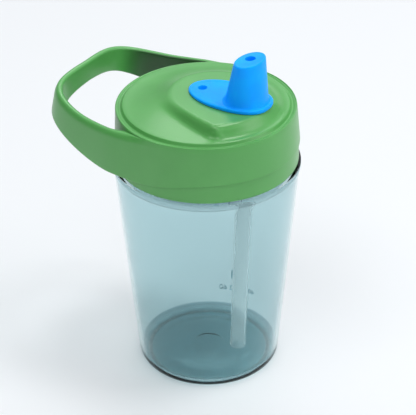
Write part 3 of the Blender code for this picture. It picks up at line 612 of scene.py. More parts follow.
def whole(tree, operation, one, other):
    """Output of a whole-number Math node."""
    return add(tree, "FunctionNodeIntegerMath", {0: one, 1: other}, operation=operation).outputs[0]


def end_tree(tree, geometry, material, merge=MERGE):
    """Realize, merge, shade smooth and set the material, as the last steps of a tree."""
    real = geo(tree, "RealizeInstances", {0: geometry})
    merged = geo(tree, "MergeByDistance", {"Geometry": real, "Distance": merge})
    shaded = geo(tree, "SetShadeSmooth", {0: merged})
    add(tree, "NodeGroupOutput", {0: geo(tree, "SetMaterial", {0: shaded, "Material": material})})


def grow(name, tree, mesh, **values):
    """Run a tree on a mesh, with its inputs set by identifier, and keep the result as a mesh."""
    seed = into_scene(name + "_seed", mesh)
    modifier = seed.modifiers.new(name, "NODES")
    modifier.node_group = tree
    identifiers = {
        item.name.replace(" ", "_"): item.identifier
        for item in tree.interface.items_tree if item.item_type == "SOCKET" and item.in_out == "INPUT"}
    for key, value in values.items():
        modifier[identifiers[key]] = value
    grown = evaluated_mesh(seed)
    seed.modifiers.remove(modifier)
    bpy.data.objects.remove(seed)
    bm = bmesh.new()
    bm.from_mesh(grown)
    return from_bmesh(name, bm)


turned, given = new_shape_tree("turned_body", {
    "Profile": "Geometry", "Profile points": "Int", "Steps round": "Int", "Finish": "Material"})
columns = whole(turned, "ADD", given["Steps round"], 1)
grid = geo(turned, "MeshGrid", {"Vertices X": given["Profile points"], "Vertices Y": columns})
number = geo(turned, "InputIndex")
row = whole(turned, "DIVIDE_FLOOR", number, columns)
column = whole(turned, "MODULO", number, columns)
profile_point = geo(turned, "SampleIndex", {
    0: given["Profile"], 1: geo(turned, "InputPosition"), 2: row}, data_type="FLOAT_VECTOR")
angle = times(turned, arith(turned, "DIVIDE", column, given["Steps round"]), math.tau)
swung = add(turned, "ShaderNodeVectorRotate", {
    "Vector": profile_point, "Angle": angle}, rotation_type="Z_AXIS").outputs[0]
end_tree(turned, geo(turned, "SetPosition", {0: grid, 2: swung}), given["Finish"])
print(turned.name, "has", len(turned.nodes), "nodes")


def turn(name, profile, steps_round, material):
    """Turn a profile of (radius, height) points round the Z axis."""
    mesh = bpy.data.meshes.new(name + "_profile")
    chain = [(index, index + 1) for index in range(len(profile) - 1)]
    mesh.from_pydata([(r, 0.0, z) for r, z in profile], chain, [])
    return grow(name, turned, mesh, Profile_points=len(profile), Steps_round=steps_round, Finish=material)

# %% [markdown]
# A screw thread is a ridge that climbs on a helix and fades out at both ends. The tree sets the
# points of a line on the helix, sweeps a small rounded section along it, and lets the section
# swell with the fade. The neck carries one ridge and the lid's inside its partner, half a turn on.

# %% Geometry Nodes: a screw ridge
SECTION_STEPS = 12
FADE_LEAST = 0.15

ridge, given = new_shape_tree("screw_ridge", {
    "Line": "Geometry", "Points": "Int", "Turns": "Float", "Lead": "Float", "Radius": "Float",
    "First height": "Float", "Depth": "Float", "Width": "Float", "Run out": "Float", "Finish": "Material"})
line = geo(ridge, "MeshLine", {"Count": given["Points"]})
last = arith(ridge, "SUBTRACT", given["Points"], 1.0)
turns_gone = times(ridge, arith(ridge, "DIVIDE", geo(ridge, "InputIndex"), last), given["Turns"])
angle = times(ridge, turns_gone, math.tau)
helix = add(ridge, "ShaderNodeCombineXYZ", {
    "X": times(ridge, arith(ridge, "COSINE", angle), given["Radius"]),
    "Y": times(ridge, arith(ridge, "SINE", angle), given["Radius"]),
    "Z": arith(ridge, "ADD", given["First height"], times(ridge, turns_gone, given["Lead"]))}).outputs[0]
curve = geo(ridge, "MeshToCurve", {0: geo(ridge, "SetPosition", {0: line, 2: helix})})
upright = geo(ridge, "SetCurveNormal", {0: curve}, mode="Z_UP")
to_end = arith(ridge, "MINIMUM", turns_gone, arith(ridge, "SUBTRACT", given["Turns"], turns_gone))
fade = climb(ridge, arith(ridge, "DIVIDE", to_end, given["Run out"]), 0.0, 1.0, FADE_LEAST)
section = geo(ridge, "CurvePrimitiveCircle", {"Resolution": SECTION_STEPS, "Radius": 1.0})
half_size = add(ridge, "ShaderNodeCombineXYZ", {
    "X": given["Depth"], "Y": times(ridge, given["Width"], 0.5), "Z": 1.0}).outputs[0]
swept = geo(ridge, "CurveToMesh", {
    "Curve": upright, "Profile Curve": geo(ridge, "Transform", {0: section, "Scale": half_size}),
    "Scale": fade, "Fill Caps": True})
end_tree(ridge, swept, given["Finish"], SLIVER)

# %% Thread sizes
THREAD_POINTS = 220
THREAD_TURNS = 1.2
THREAD_LEAD = 0.0045
THREAD_DEPTH = 0.0013
THREAD_WIDTH = 0.0021
THREAD_RUN_OUT = 30.0 / 360.0
THREAD_START = 0.0038


def screw_ridge(name, radius, first_height, material):
    """Rounded helical ridge whose section is centred on a wall's radius."""
    return grow(
        name, ridge, bpy.data.meshes.new(name), Points=THREAD_POINTS, Turns=THREAD_TURNS, Lead=THREAD_LEAD,
        Radius=radius, First_height=first_height, Depth=THREAD_DEPTH, Width=THREAD_WIDTH,
        Run_out=THREAD_RUN_OUT, Finish=material)


print("thread:", THREAD_TURNS, "turns, lead", THREAD_LEAD)

# %% [markdown]
# The tumbler. Its wall leans out evenly from foot to shoulder, the floor is thicker than the wall
# and shows the round mark of the moulding gate, a fine bead runs round the shoulder, and above it
# a plain neck with the thread disappears into the lid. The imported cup's box gives its height and
# its widest radius, and the other sizes are counted from those.

# %% Tumbler
SHOULDER_RADIUS = cup_high.x
RIM_HEIGHT = cup_high.z
SHOULDER_HEIGHT = RIM_HEIGHT - 0.0199
FOOT_RADIUS = 0.0299
BEAD_HEIGHT = 0.0022
BEAD_PROUD = 0.0005
BEAD_RADIUS = SHOULDER_RADIUS - 0.0002
FLANK_TOP = SHOULDER_HEIGHT - BEAD_HEIGHT
FLANK_TOP_RADIUS = BEAD_RADIUS - BEAD_PROUD
NECK_RADIUS = SHOULDER_RADIUS - 0.0050
NECK_BORE = NECK_RADIUS - 0.0022
FOOT_RING = 0.0070
RECESS_RUN = 0.0036
FLOOR_BOTTOM = 0.0006
FLOOR_TOP = FLOOR_BOTTOM + 0.0020
GATE_RADIUS = 0.0065
GATE_STEP = 0.0005
WALL_BOTTOM = 0.0016
WALL_TOP = 0.0019
FOOT_ROUND = 0.0048
RING_ROUND = 0.0018
CORNER_ROUND = 0.0024
CUP_STEPS = 256


def flank_radius(height):
    """Outside of the leaning wall at a height."""
    return mix(FOOT_RADIUS, FLANK_TOP_RADIUS, height / FLANK_TOP)


inner_top = SHOULDER_HEIGHT - 2.0 * WALL_TOP
foot_inner = FOOT_RADIUS - FOOT_RING
cup_profile = rounded([
    (0.0, FLOOR_BOTTOM, 0.0), (foot_inner - RECESS_RUN, FLOOR_BOTTOM, RING_ROUND),
    (foot_inner, 0.0, RING_ROUND), (FOOT_RADIUS, 0.0, FOOT_ROUND), (FLANK_TOP_RADIUS, FLANK_TOP, 0.0003),
    (BEAD_RADIUS, FLANK_TOP + BEAD_PROUD, 0.0004), (BEAD_RADIUS, SHOULDER_HEIGHT, 0.0009),
    (NECK_RADIUS, SHOULDER_HEIGHT, 0.0005), (NECK_RADIUS, RIM_HEIGHT, 0.0008),
    (NECK_BORE, RIM_HEIGHT, 0.0006), (NECK_BORE, SHOULDER_HEIGHT + WALL_TOP, 0.0015),
    (flank_radius(inner_top) - WALL_TOP, inner_top, 0.0015),
    (flank_radius(FLOOR_TOP) - WALL_BOTTOM, FLOOR_TOP, CORNER_ROUND), (GATE_RADIUS, FLOOR_TOP, 0.0002),
    (GATE_RADIUS - GATE_STEP, FLOOR_TOP - GATE_STEP, 0.0002), (0.0, FLOOR_TOP - GATE_STEP, 0.0),
], 6)
tumbler = turn("tumbler", cup_profile, CUP_STEPS, cup_finish)
combine(tumbler, screw_ridge("neck_thread", NECK_RADIUS, SHOULDER_HEIGHT + THREAD_START, cup_finish), "UNION")
complete(tumbler, cup_finish, "cup", "clear_cup", "cup")

# %% [markdown]
# A small plain scale is printed on the outside of the cup's back wall: a tick and a few numbers.
# It could be a mask in the cup's material, but then it would be clear too. So each mark is a thin
# closed plate of ink, made flat, turned into a mesh and then wrapped round the cone of the wall.

# %% Printed scale
INK_BLUE = (0.150, 0.540, 0.720, 1.0)
INK_DEPTH = 0.00003
INK_GAP = 0.00003
INK_MERGE = 1e-6
SCALE_TURN = 109.0
TICK_WIDTH, TICK_HEIGHT = 0.0008, 0.0046
TICK_TURN, TICK_MIDDLE = -5.2, 0.0189
# Each number's text, size, turn from the scale's own, and height above the foot
SCALE_NUMBERS = (("60", 0.0036, 2.4, 0.0116), ("2", 0.0036, -4.6, 0.0116), ("40", 0.0034, -23.5, 0.0124))

ink_finish, tree, shader = new_finish("scale_ink")
marks = use(tree, handling, Patch_per_metre=300.0, Smear_per_metre=500.0)
tree.links.new(between(tree, marks.outputs["Patches"], 0.35, 0.50), shader.inputs["Roughness"])
settle(shader, Base_Color=INK_BLUE)


def wrapped_on_wall(mesh, turn_degrees, height):
    """Bend a flat plate in XY round the cup's wall; its thickness goes outwards."""
    for vertex in mesh.vertices:
        across, up, out = vertex.co
        radius = flank_radius(height + up) + INK_GAP + INK_DEPTH / 2.0 + out
        vertex.co = polar(radius, height + up, turn_degrees + math.degrees(across / radius))


def printed_numbers(text, size, turn_degrees, height):
    """Numbers as a mesh on the cup's wall."""
    letters = bpy.data.curves.new("numbers", "FONT")
    letters.body, letters.size, letters.extrude = text, size, INK_DEPTH / 2.0
    letters.align_x, letters.align_y, letters.resolution_u = "CENTER", "CENTER", 3
    holder = into_scene("numbers", letters)
    mesh = evaluated_mesh(holder)
    bpy.data.objects.remove(holder)
    wrapped_on_wall(mesh, turn_degrees, height)
    return mesh


ink = bmesh.new()
for text, size, shift, height in SCALE_NUMBERS:
    ink.from_mesh(printed_numbers(text, size, SCALE_TURN + shift, height))
tick = bmesh.new()
bmesh.ops.create_cube(tick, size=1.0)
bmesh.ops.scale(tick, vec=(TICK_WIDTH, TICK_HEIGHT, INK_DEPTH), verts=tick.verts)
tick_mesh = bpy.data.meshes.new("tick")
tick.to_mesh(tick_mesh)
tick.free()
wrapped_on_wall(tick_mesh, SCALE_TURN + TICK_TURN, TICK_MIDDLE)
ink.from_mesh(tick_mesh)
bmesh.ops.remove_doubles(ink, verts=ink.verts, dist=INK_MERGE)
scale_print = from_bmesh("scale_print", ink)
complete(scale_print, ink_finish, "cup", "clear_cup")

# %% [markdown]
# The lid's top follows one rule, a height for every radius and angle. A level deck carries the
# spout. Round its front it drops over a steep wall to a narrow ledge. Going clockwise from there,
# a crest winds in towards the middle and out again: beside it a step falls to a ramp, sharp at
# its high end and fading until deck and ramp are one long slope. Averaging the rule over a tiny
# disc rounds every edge, as the mould does.

# %% Height of the lid's top
LID_RADIUS = SHOULDER_RADIUS - 0.0011
LID_BOTTOM = lid_low.z
DECK_TOP = lid_high.z
DECK_EDGE_TOP = DECK_TOP - 0.0050
GROOVE = SHOULDER_HEIGHT + 0.0243
RIM_TOP = GROOVE + 0.0004
RIM_WIDTH = 0.0014
DECK_EDGE = LID_RADIUS - 0.0044
WALL_START = 0.0287
WALL_FOOT = 0.0337
FALL_POWER = 1.9
WALL_ANGLE, SLOPE_ANGLE = -25.0, 60.0
NOSE_FALL = (0.0297, 0.0328)
NOSE_BOW, NOSE_TOP, NOSE_END = 6.0, -2.8, -11.2
NOSE_BLEND = 3.0
LEDGE_RISE = 0.0002
STEP_ANGLE = -46.0
SWIRL_LIMIT = 300.0
CREST_RADIUS = 0.0140
CREST_FLARE, CREST_FLARE_FADE = 0.0162, 27.0
CREST_RETURN, CREST_RETURN_POWER = 100.0, 2.2
STEP_WIDTH, STEP_WIDENING, STEP_WIDENING_START = 0.0014, 0.0049, 20.0
STEP_FADE = (60.0, 110.0)
STEP_ROUNDNESS = 0.6
BEND_SPAN = (200.0, SWIRL_LIMIT)
RAMP_RISE = 0.0036
LEAST = 0.0005
EDGE_BLUR = 0.0008
BLUR_SPOTS = 8


def crest_radius(swirl):
    """Radius of the crest, by the angle gone clockwise from its high end."""
    gone = max(0.0, (swirl - CREST_RETURN) / (SWIRL_LIMIT - CREST_RETURN))
    flare = CREST_FLARE * math.exp(-swirl / CREST_FLARE_FADE)
    return CREST_RADIUS + flare + (WALL_START - CREST_RADIUS) * gone ** CREST_RETURN_POWER


def swirl_angle(angle, radius):
    """Angle gone clockwise from the crest's high end, which bows sideways on its way out."""
    share = min(max((radius - WALL_START) / (DECK_EDGE - WALL_START), 0.0), 1.0)
    bow = NOSE_BOW * math.sin(math.pi * share) + mix(NOSE_TOP, NOSE_END, share)
    swirl = (STEP_ANGLE + bow - angle) % 360.0
    return swirl - 360.0 if swirl > SWIRL_LIMIT else swirl


def step_foot(swirl):
    """Radius of the step's foot, which stays one width away square to the slanting crest."""
    radius = crest_radius(swirl)
    slope = math.degrees(crest_radius(swirl + 0.5) - crest_radius(swirl - 0.5))
    width = STEP_WIDTH + STEP_WIDENING * eased(swirl, (STEP_WIDENING_START, STEP_FADE[1]))
    return min(radius + width * math.hypot(1.0, slope / radius), DECK_EDGE - LEAST)


def front_foot(angle):
    """Radius of the foot of the front wall, which widens into a slope on the right."""
    return mix(WALL_FOOT, DECK_EDGE, eased(angle, (WALL_ANGLE, SLOPE_ANGLE)))


def fall_end(angle):
    """Radius at which the deck beside the crest has come down to its ledge."""
    return front_foot(angle) if angle > 0.0 else DECK_EDGE


def step_height(radius, angle, swirl, low):
    """Height beside the crest: a step down to a ramp, which fades into one long slope."""
    crest = crest_radius(swirl)
    share = min(max(radius - crest, 0.0) / max(fall_end(angle) - crest, LEAST), 1.0)
    slope = mix(DECK_TOP, low, mix(share, smooth(share), eased(swirl, BEND_SPAN)))
    fade = eased(swirl, STEP_FADE)
    if fade >= 1.0:
        return slope
    foot = step_foot(swirl)
    up = min(max(DECK_EDGE - radius, 0.0) / (DECK_EDGE - foot), 1.0)
    ramp = DECK_EDGE_TOP + (LEDGE_RISE + RAMP_RISE * max(swirl, 0.0) / STEP_FADE[1]) * up
    nose = mix(DECK_TOP, low, eased(radius, NOSE_FALL))
    share = min(max(radius - crest, 0.0) / (foot - crest), 1.0)
    step = mix(nose, min(ramp, nose), mix(share, smooth(share), STEP_ROUNDNESS))
    return mix(step, slope, fade)


def sharp_height(radius, angle):
    """Height of the top with its edges still sharp, for an angle from -180 to 180."""
    swirl = swirl_angle(angle, radius)
    outward = min(max(DECK_EDGE - radius, 0.0) / (DECK_EDGE - WALL_FOOT), 1.0)
    low = DECK_EDGE_TOP + LEDGE_RISE * outward
    fall = min(max((radius - WALL_START) / (front_foot(angle) - WALL_START), 0.0), 1.0)
    front = mix(DECK_TOP, low, 1.0 - (1.0 - fall) ** FALL_POWER)
    if swirl <= -NOSE_BLEND:
        return front
    step = step_height(radius, angle, swirl, low)
    return mix(front, step, eased(swirl, (-NOSE_BLEND, NOSE_BLEND)))


def top_height(radius, angle):
    """The rule averaged over a small disc, so that crest, wall and foot are rounded."""
    x, y, _ = polar(radius, 0.0, angle)
    total = sharp_height(radius, angle)
    for spot in range(BLUR_SPOTS):
        reach = EDGE_BLUR * (1.0 if spot % 2 else 1.8)
        dx, dy, _ = polar(reach, 0.0, 360.0 / BLUR_SPOTS * spot)
        place = math.hypot(x + dx, y + dy)
        total += sharp_height(min(place, DECK_EDGE), math.degrees(math.atan2(y + dy, x + dx)))
    return total / (BLUR_SPOTS + 1)


print("heights on the +X side:", [round(top_height(r / 1000.0, 0.0), 4) for r in (0, 15, 30, 33)])

# %% [markdown]
# The lid's shell is one closed skin of rings: over the top, across the groove and the rim, down
# the skirt, in under its hem, up the bore and back below the deck. Ring radii shift with the
# angle so that they follow the crest and the wall, where the surface needs most points.

# %% Lid shell
LID_BORE = NECK_RADIUS + THREAD_DEPTH + 0.0004
SEAL_SEAT = seal_high.z + 0.0003
CENTRING_RADIUS = NECK_BORE - 0.0004
CENTRING_BORE = CENTRING_RADIUS - 0.0013
CENTRING_DEPTH = 0.0050
SKIRT_TOP = LID_RADIUS - 0.0012
DECK_WALL = 0.0020
LEVEL_RINGS = [0.15, 0.35, 0.5, 0.62, 0.72, 0.80, 0.86, 0.91, 0.95, 0.98]
FALL_RINGS = [index / 22 for index in range(23)]
SLOPE_RINGS = [0.08, 0.2, 0.35, 0.5, 0.65, 0.8, 0.9, 1.0]
UNDER_RINGS = [1.0, 0.985, 0.96, 0.92, 0.88, 0.82, 0.76, 0.69, 0.62, 0.54, 0.45, 0.3, 0.15]
RING_MARGIN = 0.0004
NOSE_BACK_SPAN = (25.0, 38.0)
NOSE_RING_SPAN = (3.0, 14.0)
# Fine angles by their start from the step, their spacing and their count; coarse ones beyond
FINE_ANGLES = ((-56.0, 0.8, 50), (-16.0, 0.5, 56))
COARSE_START, COARSE_END, COARSE_COUNT = 12.0, 304.0, 146


def wrapped(angle):
    """The same angle, from -180 to 180."""
    return (angle + 180.0) % 360.0 - 180.0


def top_rings(angle):
    """Radii of the rings of the lid's top at an angle."""
    swirl = swirl_angle(angle, 0.0)
    near_nose = max(mix(WALL_FOOT, NOSE_FALL[1], eased(-angle, NOSE_BACK_SPAN)), front_foot(angle))
    crest, foot = WALL_START, near_nose
    if swirl >= 0.0:
        crest = min(crest_radius(swirl), WALL_START)
        midway = mix(crest, fall_end(angle), 0.5)
        foot = mix(near_nose, min(step_foot(swirl), WALL_FOOT), eased(swirl, NOSE_RING_SPAN))
        foot = mix(foot, midway, eased(swirl, (STEP_FADE[1], BEND_SPAN[0])))
        foot = mix(foot, fall_end(angle), eased(swirl, BEND_SPAN))
    crest -= RING_MARGIN
    foot = min(foot + RING_MARGIN, DECK_EDGE - 2.0 * LEAST)
    level = [crest * share for share in LEVEL_RINGS]
    fall = [mix(crest, foot, share) for share in FALL_RINGS]
    return level + fall + [mix(foot, DECK_EDGE, share) for share in SLOPE_RINGS]


def lid_shell():
    """The closed skin, with rings closest at the step's high end."""
    angles = [STEP_ANGLE + start + space * i for start, space, count in FINE_ANGLES for i in range(count)]
    first, last = STEP_ANGLE + COARSE_START, STEP_ANGLE + COARSE_END
    angles += [mix(first, last, index / COARSE_COUNT) for index in range(COARSE_COUNT)]
    angles = [wrapped(angle) for angle in angles]
    radii = [top_rings(angle) for angle in angles]
    top = [
        [polar(rings[index], top_height(rings[index], angle), angle)
         for rings, angle in zip(radii, angles)]
        for index in range(len(radii[0]))]
    outside = rounded([
        (DECK_EDGE, DECK_EDGE_TOP, 0.0), (DECK_EDGE + 0.0004, DECK_EDGE_TOP - 0.0001, 0.0004),
        (DECK_EDGE + 0.0011, GROOVE, 0.0006), (SKIRT_TOP - RIM_WIDTH, GROOVE, 0.0006),
        (SKIRT_TOP - 0.6 * RIM_WIDTH, RIM_TOP, 0.0005), (SKIRT_TOP, RIM_TOP - 0.0001, 0.0012),
        (LID_RADIUS, LID_BOTTOM, 0.0007), (LID_BORE, LID_BOTTOM, 0.0007),
        (LID_BORE, SEAL_SEAT, 0.0004), (CENTRING_RADIUS, SEAL_SEAT, 0.0004),
        (CENTRING_RADIUS, SEAL_SEAT - CENTRING_DEPTH, 0.0005),
        (CENTRING_BORE, SEAL_SEAT - CENTRING_DEPTH, 0.0),
    ], 5)[1:]
    sides = [[polar(r, z, angle) for angle in angles] for r, z in outside]
    under = [
        [polar(CENTRING_BORE * share, top_height(CENTRING_BORE * share, angle) - DECK_WALL, angle)
         for angle in angles]
        for share in UNDER_RINGS]
    return lofted("lid", top + sides + under)


lid = lid_shell()
first_groove = SHOULDER_HEIGHT + THREAD_START + THREAD_LEAD / 2.0
combine(lid, screw_ridge("lid_thread", LID_BORE, first_groove, lid_finish), "UNION")
print("lid shell", len(lid.data.polygons), "faces")

# %% [markdown]
# The rim band is wrapped round the front of the skirt and runs on, without a joint, into the
# carry loop. It is a sweep: a path in plan, made of half a circle and two Bezier curves on each
# side, and a rounded upright section whose height, thickness and lean change along the way. The
# loop's lower edge rises towards the grip, and its outside flares there to sit well in the hand.

# %% Rim band and carry loop
BAND_RADIUS = LID_RADIUS + 0.0003
BAND_DRAFT = 0.0012
BORE_COVER = 0.0006
LOOP_REACH = 0.0615
BEND_ANGLE = math.radians(10.7)
BEND_X, BEND_Y = 0.413, 0.982
ROOT_PULL, BEND_PULL, CORNER_PULL, GRIP_PULL = 0.12, 0.10, 0.704, 0.508
FRONT_STEPS, SIDE_STEPS, CORNER_STEPS = 60, 16, 64
BAND_RISE, LOOP_SAG, LOOP_LIFT = 0.0250, 0.0026, 0.0051
LOWER_FRONT, LOWER_BACK, GRIP_RISE = 0.0092, 0.0038, 0.0148
THIN_FRONT, THICK_LOOP, ROOT_SWELL = 0.0013, 0.0033, 0.0012
SWELL_PLACE, SWELL_REACH = 0.17, 0.06
GRIP_FLARE, LOOP_TAPER = 0.0016, 0.0005
# Where the section changes, in shares of the way out to the grip; the lower edge's span is along X
SAG_SPAN, LIFT_SPAN, RISE_SPAN = (-0.15, 0.45), (0.43, 0.96), (0.26, 1.02)
THICK_SPAN, DRAFT_SPAN, FLARE_SPAN, TAPER_SPAN = (-0.05, 0.16), (0.0, 0.25), (0.30, 0.80), (0.0, 0.30)
LOWER_SPAN = (0.025, -0.015)


def bezier(points, share):
    rest = 1.0 - share
    weights = (rest ** 3, 3.0 * share * rest ** 2, 3.0 * share ** 2 * rest, share ** 3)
    return sum((Vector(p) * w for p, w in zip(points, weights)), Vector((0.0, 0.0)))


def band_path():
    """Plan of the band's outer top edge, with each point's share of the way out to the grip."""
    radius = BAND_RADIUS - BAND_DRAFT
    root, grip = Vector((0.0, radius)), Vector((-LOOP_REACH, 0.0))
    bend = Vector((-BEND_X * LOOP_REACH, BEND_Y * radius))
    heading = Vector((-math.cos(BEND_ANGLE), -math.sin(BEND_ANGLE))) * LOOP_REACH
    side = (root, root - Vector((ROOT_PULL * LOOP_REACH, 0.0)), bend - BEND_PULL * heading, bend)
    corner = (bend, bend + CORNER_PULL * heading, grip + Vector((0.0, GRIP_PULL * radius)), grip)
    out = [bezier(side, i / SIDE_STEPS) for i in range(SIDE_STEPS)]
    out += [bezier(corner, i / CORNER_STEPS) for i in range(CORNER_STEPS + 1)]
    steps = [0.0] + [(b - a).length for a, b in zip(out, out[1:])]
    front = [math.radians(90.0 * i / FRONT_STEPS) for i in range(FRONT_STEPS)]
    half = [Vector((radius * math.cos(a), radius * math.sin(a))) for a in front]
    shares = [-point.x / sum(steps) for point in half]
    half += out
    shares += [sum(steps[:i + 1]) / sum(steps) for i in range(len(out))]
    mirrored = [Vector((p.x, -p.y)) for p in reversed(half[1:-1])]
    return list(zip(half + mirrored, shares + shares[-2:0:-1]))


def band_section(x, share):
    """Top, lower edge, thickness, outside lean and inside taper of the band at a place."""
    top = SHOULDER_HEIGHT + BAND_RISE - LOOP_SAG * eased(share, SAG_SPAN)
    top += LOOP_LIFT * eased(share, LIFT_SPAN)
    lower = SHOULDER_HEIGHT + mix(LOWER_FRONT, LOWER_BACK, eased(x, LOWER_SPAN))
    lower += GRIP_RISE * eased(share, RISE_SPAN)
    thick = mix(THIN_FRONT, THICK_LOOP, eased(share, THICK_SPAN))
    thick += ROOT_SWELL * math.exp(-((share - SWELL_PLACE) / SWELL_REACH) ** 2)
    lean = BAND_DRAFT * mix(1.0, 0.3, eased(share, DRAFT_SPAN)) + GRIP_FLARE * eased(share, FLARE_SPAN)
    return top, lower, thick, lean, LOOP_TAPER * eased(share, TAPER_SPAN)


def depth_to_bore(point, inward):
    """How thick the band may be before it would break through into the lid's bore."""
    keep_out = LID_BORE + BORE_COVER
    along = -point.dot(inward)
    aside = math.sqrt(max(point.length_squared - along * along, 0.0))
    return LOOP_REACH if aside >= keep_out else along - math.sqrt(keep_out ** 2 - aside ** 2)


path = band_path()
band_loops = []
for index, (point, share) in enumerate(path):
    ahead = path[(index + 1) % len(path)][0] - path[index - 1][0]
    inward = Vector((-ahead.y, ahead.x)).normalized()
    top, lower, thick, lean, taper = band_section(point.x, share)
    limit = depth_to_bore(point, inward)
    thick = min(thick, limit)
    corner = min(0.0011, thick * 0.34)
    crown = min(0.0024, thick) * 0.48
    tip = mix(0.14, -0.14, eased(share, DRAFT_SPAN)) * (thick - crown)
    section = rounded([
        (-lean, lower, corner), (0.0, top - 0.0022, corner), (crown, top - max(tip, 0.0), 2.0 * corner),
        (thick, top + min(tip, 0.0), corner), (min(thick + taper, limit), lower, corner)], 5, closed=True)
    band_loops.append([(*(point + inward * offset), z) for offset, z in section])
combine(lid, lofted("band", band_loops, closed=True), "UNION")
print("band swept through", len(path), "sections")

# %% [markdown]
# The spout's plate and the hole it fills share one outline: a superellipse, blunt round the
# spout and pointed at the vent. A collar below the deck stiffens the hole's edge.

# %% Opening for the spout
PLATE_CENTRE = 0.0113
PLATE_HALF_LENGTH = 0.0182
PLATE_HALF_WIDTH = 0.0107
PLATE_BLUNTNESS = 2.45
PLATE_LAP = 0.0021
COLLAR_DEPTH = 0.0034
COLLAR_WALL = 0.0015
CUT_PAST = 0.005
OUTLINE_STEPS = 144


def egg(height, inset, rise=0.0):
    """Loop of the plate's outline, moved in by an inset; it may climb towards the spout."""
    loop = []
    for index in range(OUTLINE_STEPS):
        angle = math.tau * (index + 0.5) / OUTLINE_STEPS
        across, along = math.sin(angle), math.cos(angle)
        power = 2.0 / (PLATE_BLUNTNESS if along > 0.0 else 2.0)
        x = PLATE_CENTRE + (PLATE_HALF_LENGTH - inset) * math.copysign(abs(along) ** power, along)
        y = (PLATE_HALF_WIDTH - inset) * math.copysign(abs(across) ** power, across)
        uphill = rise * (x - PLATE_CENTRE + PLATE_HALF_LENGTH) / (2.0 * PLATE_HALF_LENGTH)
        loop.append((x, y, height + uphill))
    return loop


under_deck = DECK_TOP - DECK_WALL
collar = lofted("collar", [
    egg(under_deck - COLLAR_DEPTH, PLATE_LAP - COLLAR_WALL),
    egg(under_deck + DECK_WALL / 2.0, PLATE_LAP - COLLAR_WALL)])
combine(lid, collar, "UNION")
hole = lofted("hole", [
    egg(under_deck - 2.0 * COLLAR_DEPTH, PLATE_LAP), egg(DECK_TOP + 2.0 * CUT_PAST, PLATE_LAP)])
combine(lid, hole, "DIFFERENCE")
complete(lid, lid_finish, "lid", "lid_plastic", "lid")

# %% [markdown]
# The spout is one soft moulding. Its plate has a raised bead round the edge and a dished middle,
# the cone stands on it with a small fillet and ends in a slanted oval mouth, and below the deck
# are the plug that grips the lid, the sleeve for the straw and the tube of the air vent.

# %% Spout
PLATE_BOTTOM = DECK_TOP + 0.0001
PLATE_TOP = PLATE_BOTTOM + 0.0011
DISH_TOP = PLATE_TOP - 0.0004
PLATE_RISE = 0.0008
CONE_FOOT_X, CONE_TOP_X = 0.0193, 0.0206
CONE_FOOT_Z = PLATE_TOP + PLATE_RISE
CONE_TOP_Z = CONE_FOOT_Z + 0.0175
CONE_FOOT_RADIUS = 0.0085
CONE_TOP_HALF_DEPTH, CONE_TOP_HALF_WIDTH = 0.0054, 0.0079
CONE_SLANT = 0.09
CONE_FILLET = 0.0012
CONE_ROUND = 0.0006
FLARE_POWER = 2.2
SPOUT_WALL = 0.0019
PLUG_DEPTH = 0.0042
PLUG_WALL = 0.0022
PLUG_GAP = 0.0003
TENTH = 0.0001
MOUTH_X, MOUTH_Y = 0.0200, 0.0012
MOUTH_RADIUS = 0.0021
VENT_X = -0.0016
VENT_RADIUS = 0.0017
VENT_TUBE = 0.0026
STRAW_RADIUS = 0.0034
STRAW_BORE = STRAW_RADIUS - 0.0008
STRAW_LEAN = math.radians(2.2)
STRAW_FOOT = 0.0071
SOCKET_TOP = DECK_TOP - DECK_WALL
SOCKET_DEPTH = 0.0110
SOCKET_RADIUS = STRAW_RADIUS + 0.0003
SLEEVE_RADIUS = SOCKET_RADIUS + 0.0017


def oval(x, height, half_depth, half_width, slant=0.0):
    """Elliptic loop round a vertical axis, tilted by a slope along X."""
    loop = []
    for index in range(OUTLINE_STEPS):
        angle = math.tau * index / OUTLINE_STEPS
        out = half_depth * math.cos(angle)
        loop.append((x + out, half_width * math.sin(angle), height + slant * out))
    return loop


def ring(x, height, radius, slant=0.0):
    """Round loop."""
    return oval(x, height, radius, radius, slant)


def edge_rows(height, inset, uphill, *steps):
    """Rows of the plate's section near a height and an inset, stepped in tenths of a millimetre."""
    return [(height + up * TENTH, inset + inwards * TENTH, uphill) for up, inwards in steps]


def cone_loop(share, inset, drop=0.0):
    """Loop up the cone: round at the plate, a wide slanted oval at the top."""
    return oval(
        mix(CONE_FOOT_X, CONE_TOP_X, share), mix(CONE_FOOT_Z, CONE_TOP_Z, share) - drop,
        mix(CONE_FOOT_RADIUS, CONE_TOP_HALF_DEPTH, share) - inset,
        mix(CONE_FOOT_RADIUS, CONE_TOP_HALF_WIDTH, share) - inset, CONE_SLANT * share)


def leaning(made):
    """Move a turned piece from the Z axis onto the straw's leaning axis."""
    made.data.transform(
        Matrix.Translation((CONE_FOOT_X, 0.0, SOCKET_TOP)) @ Matrix.Rotation(STRAW_LEAN, 4, "Y"))
    return made


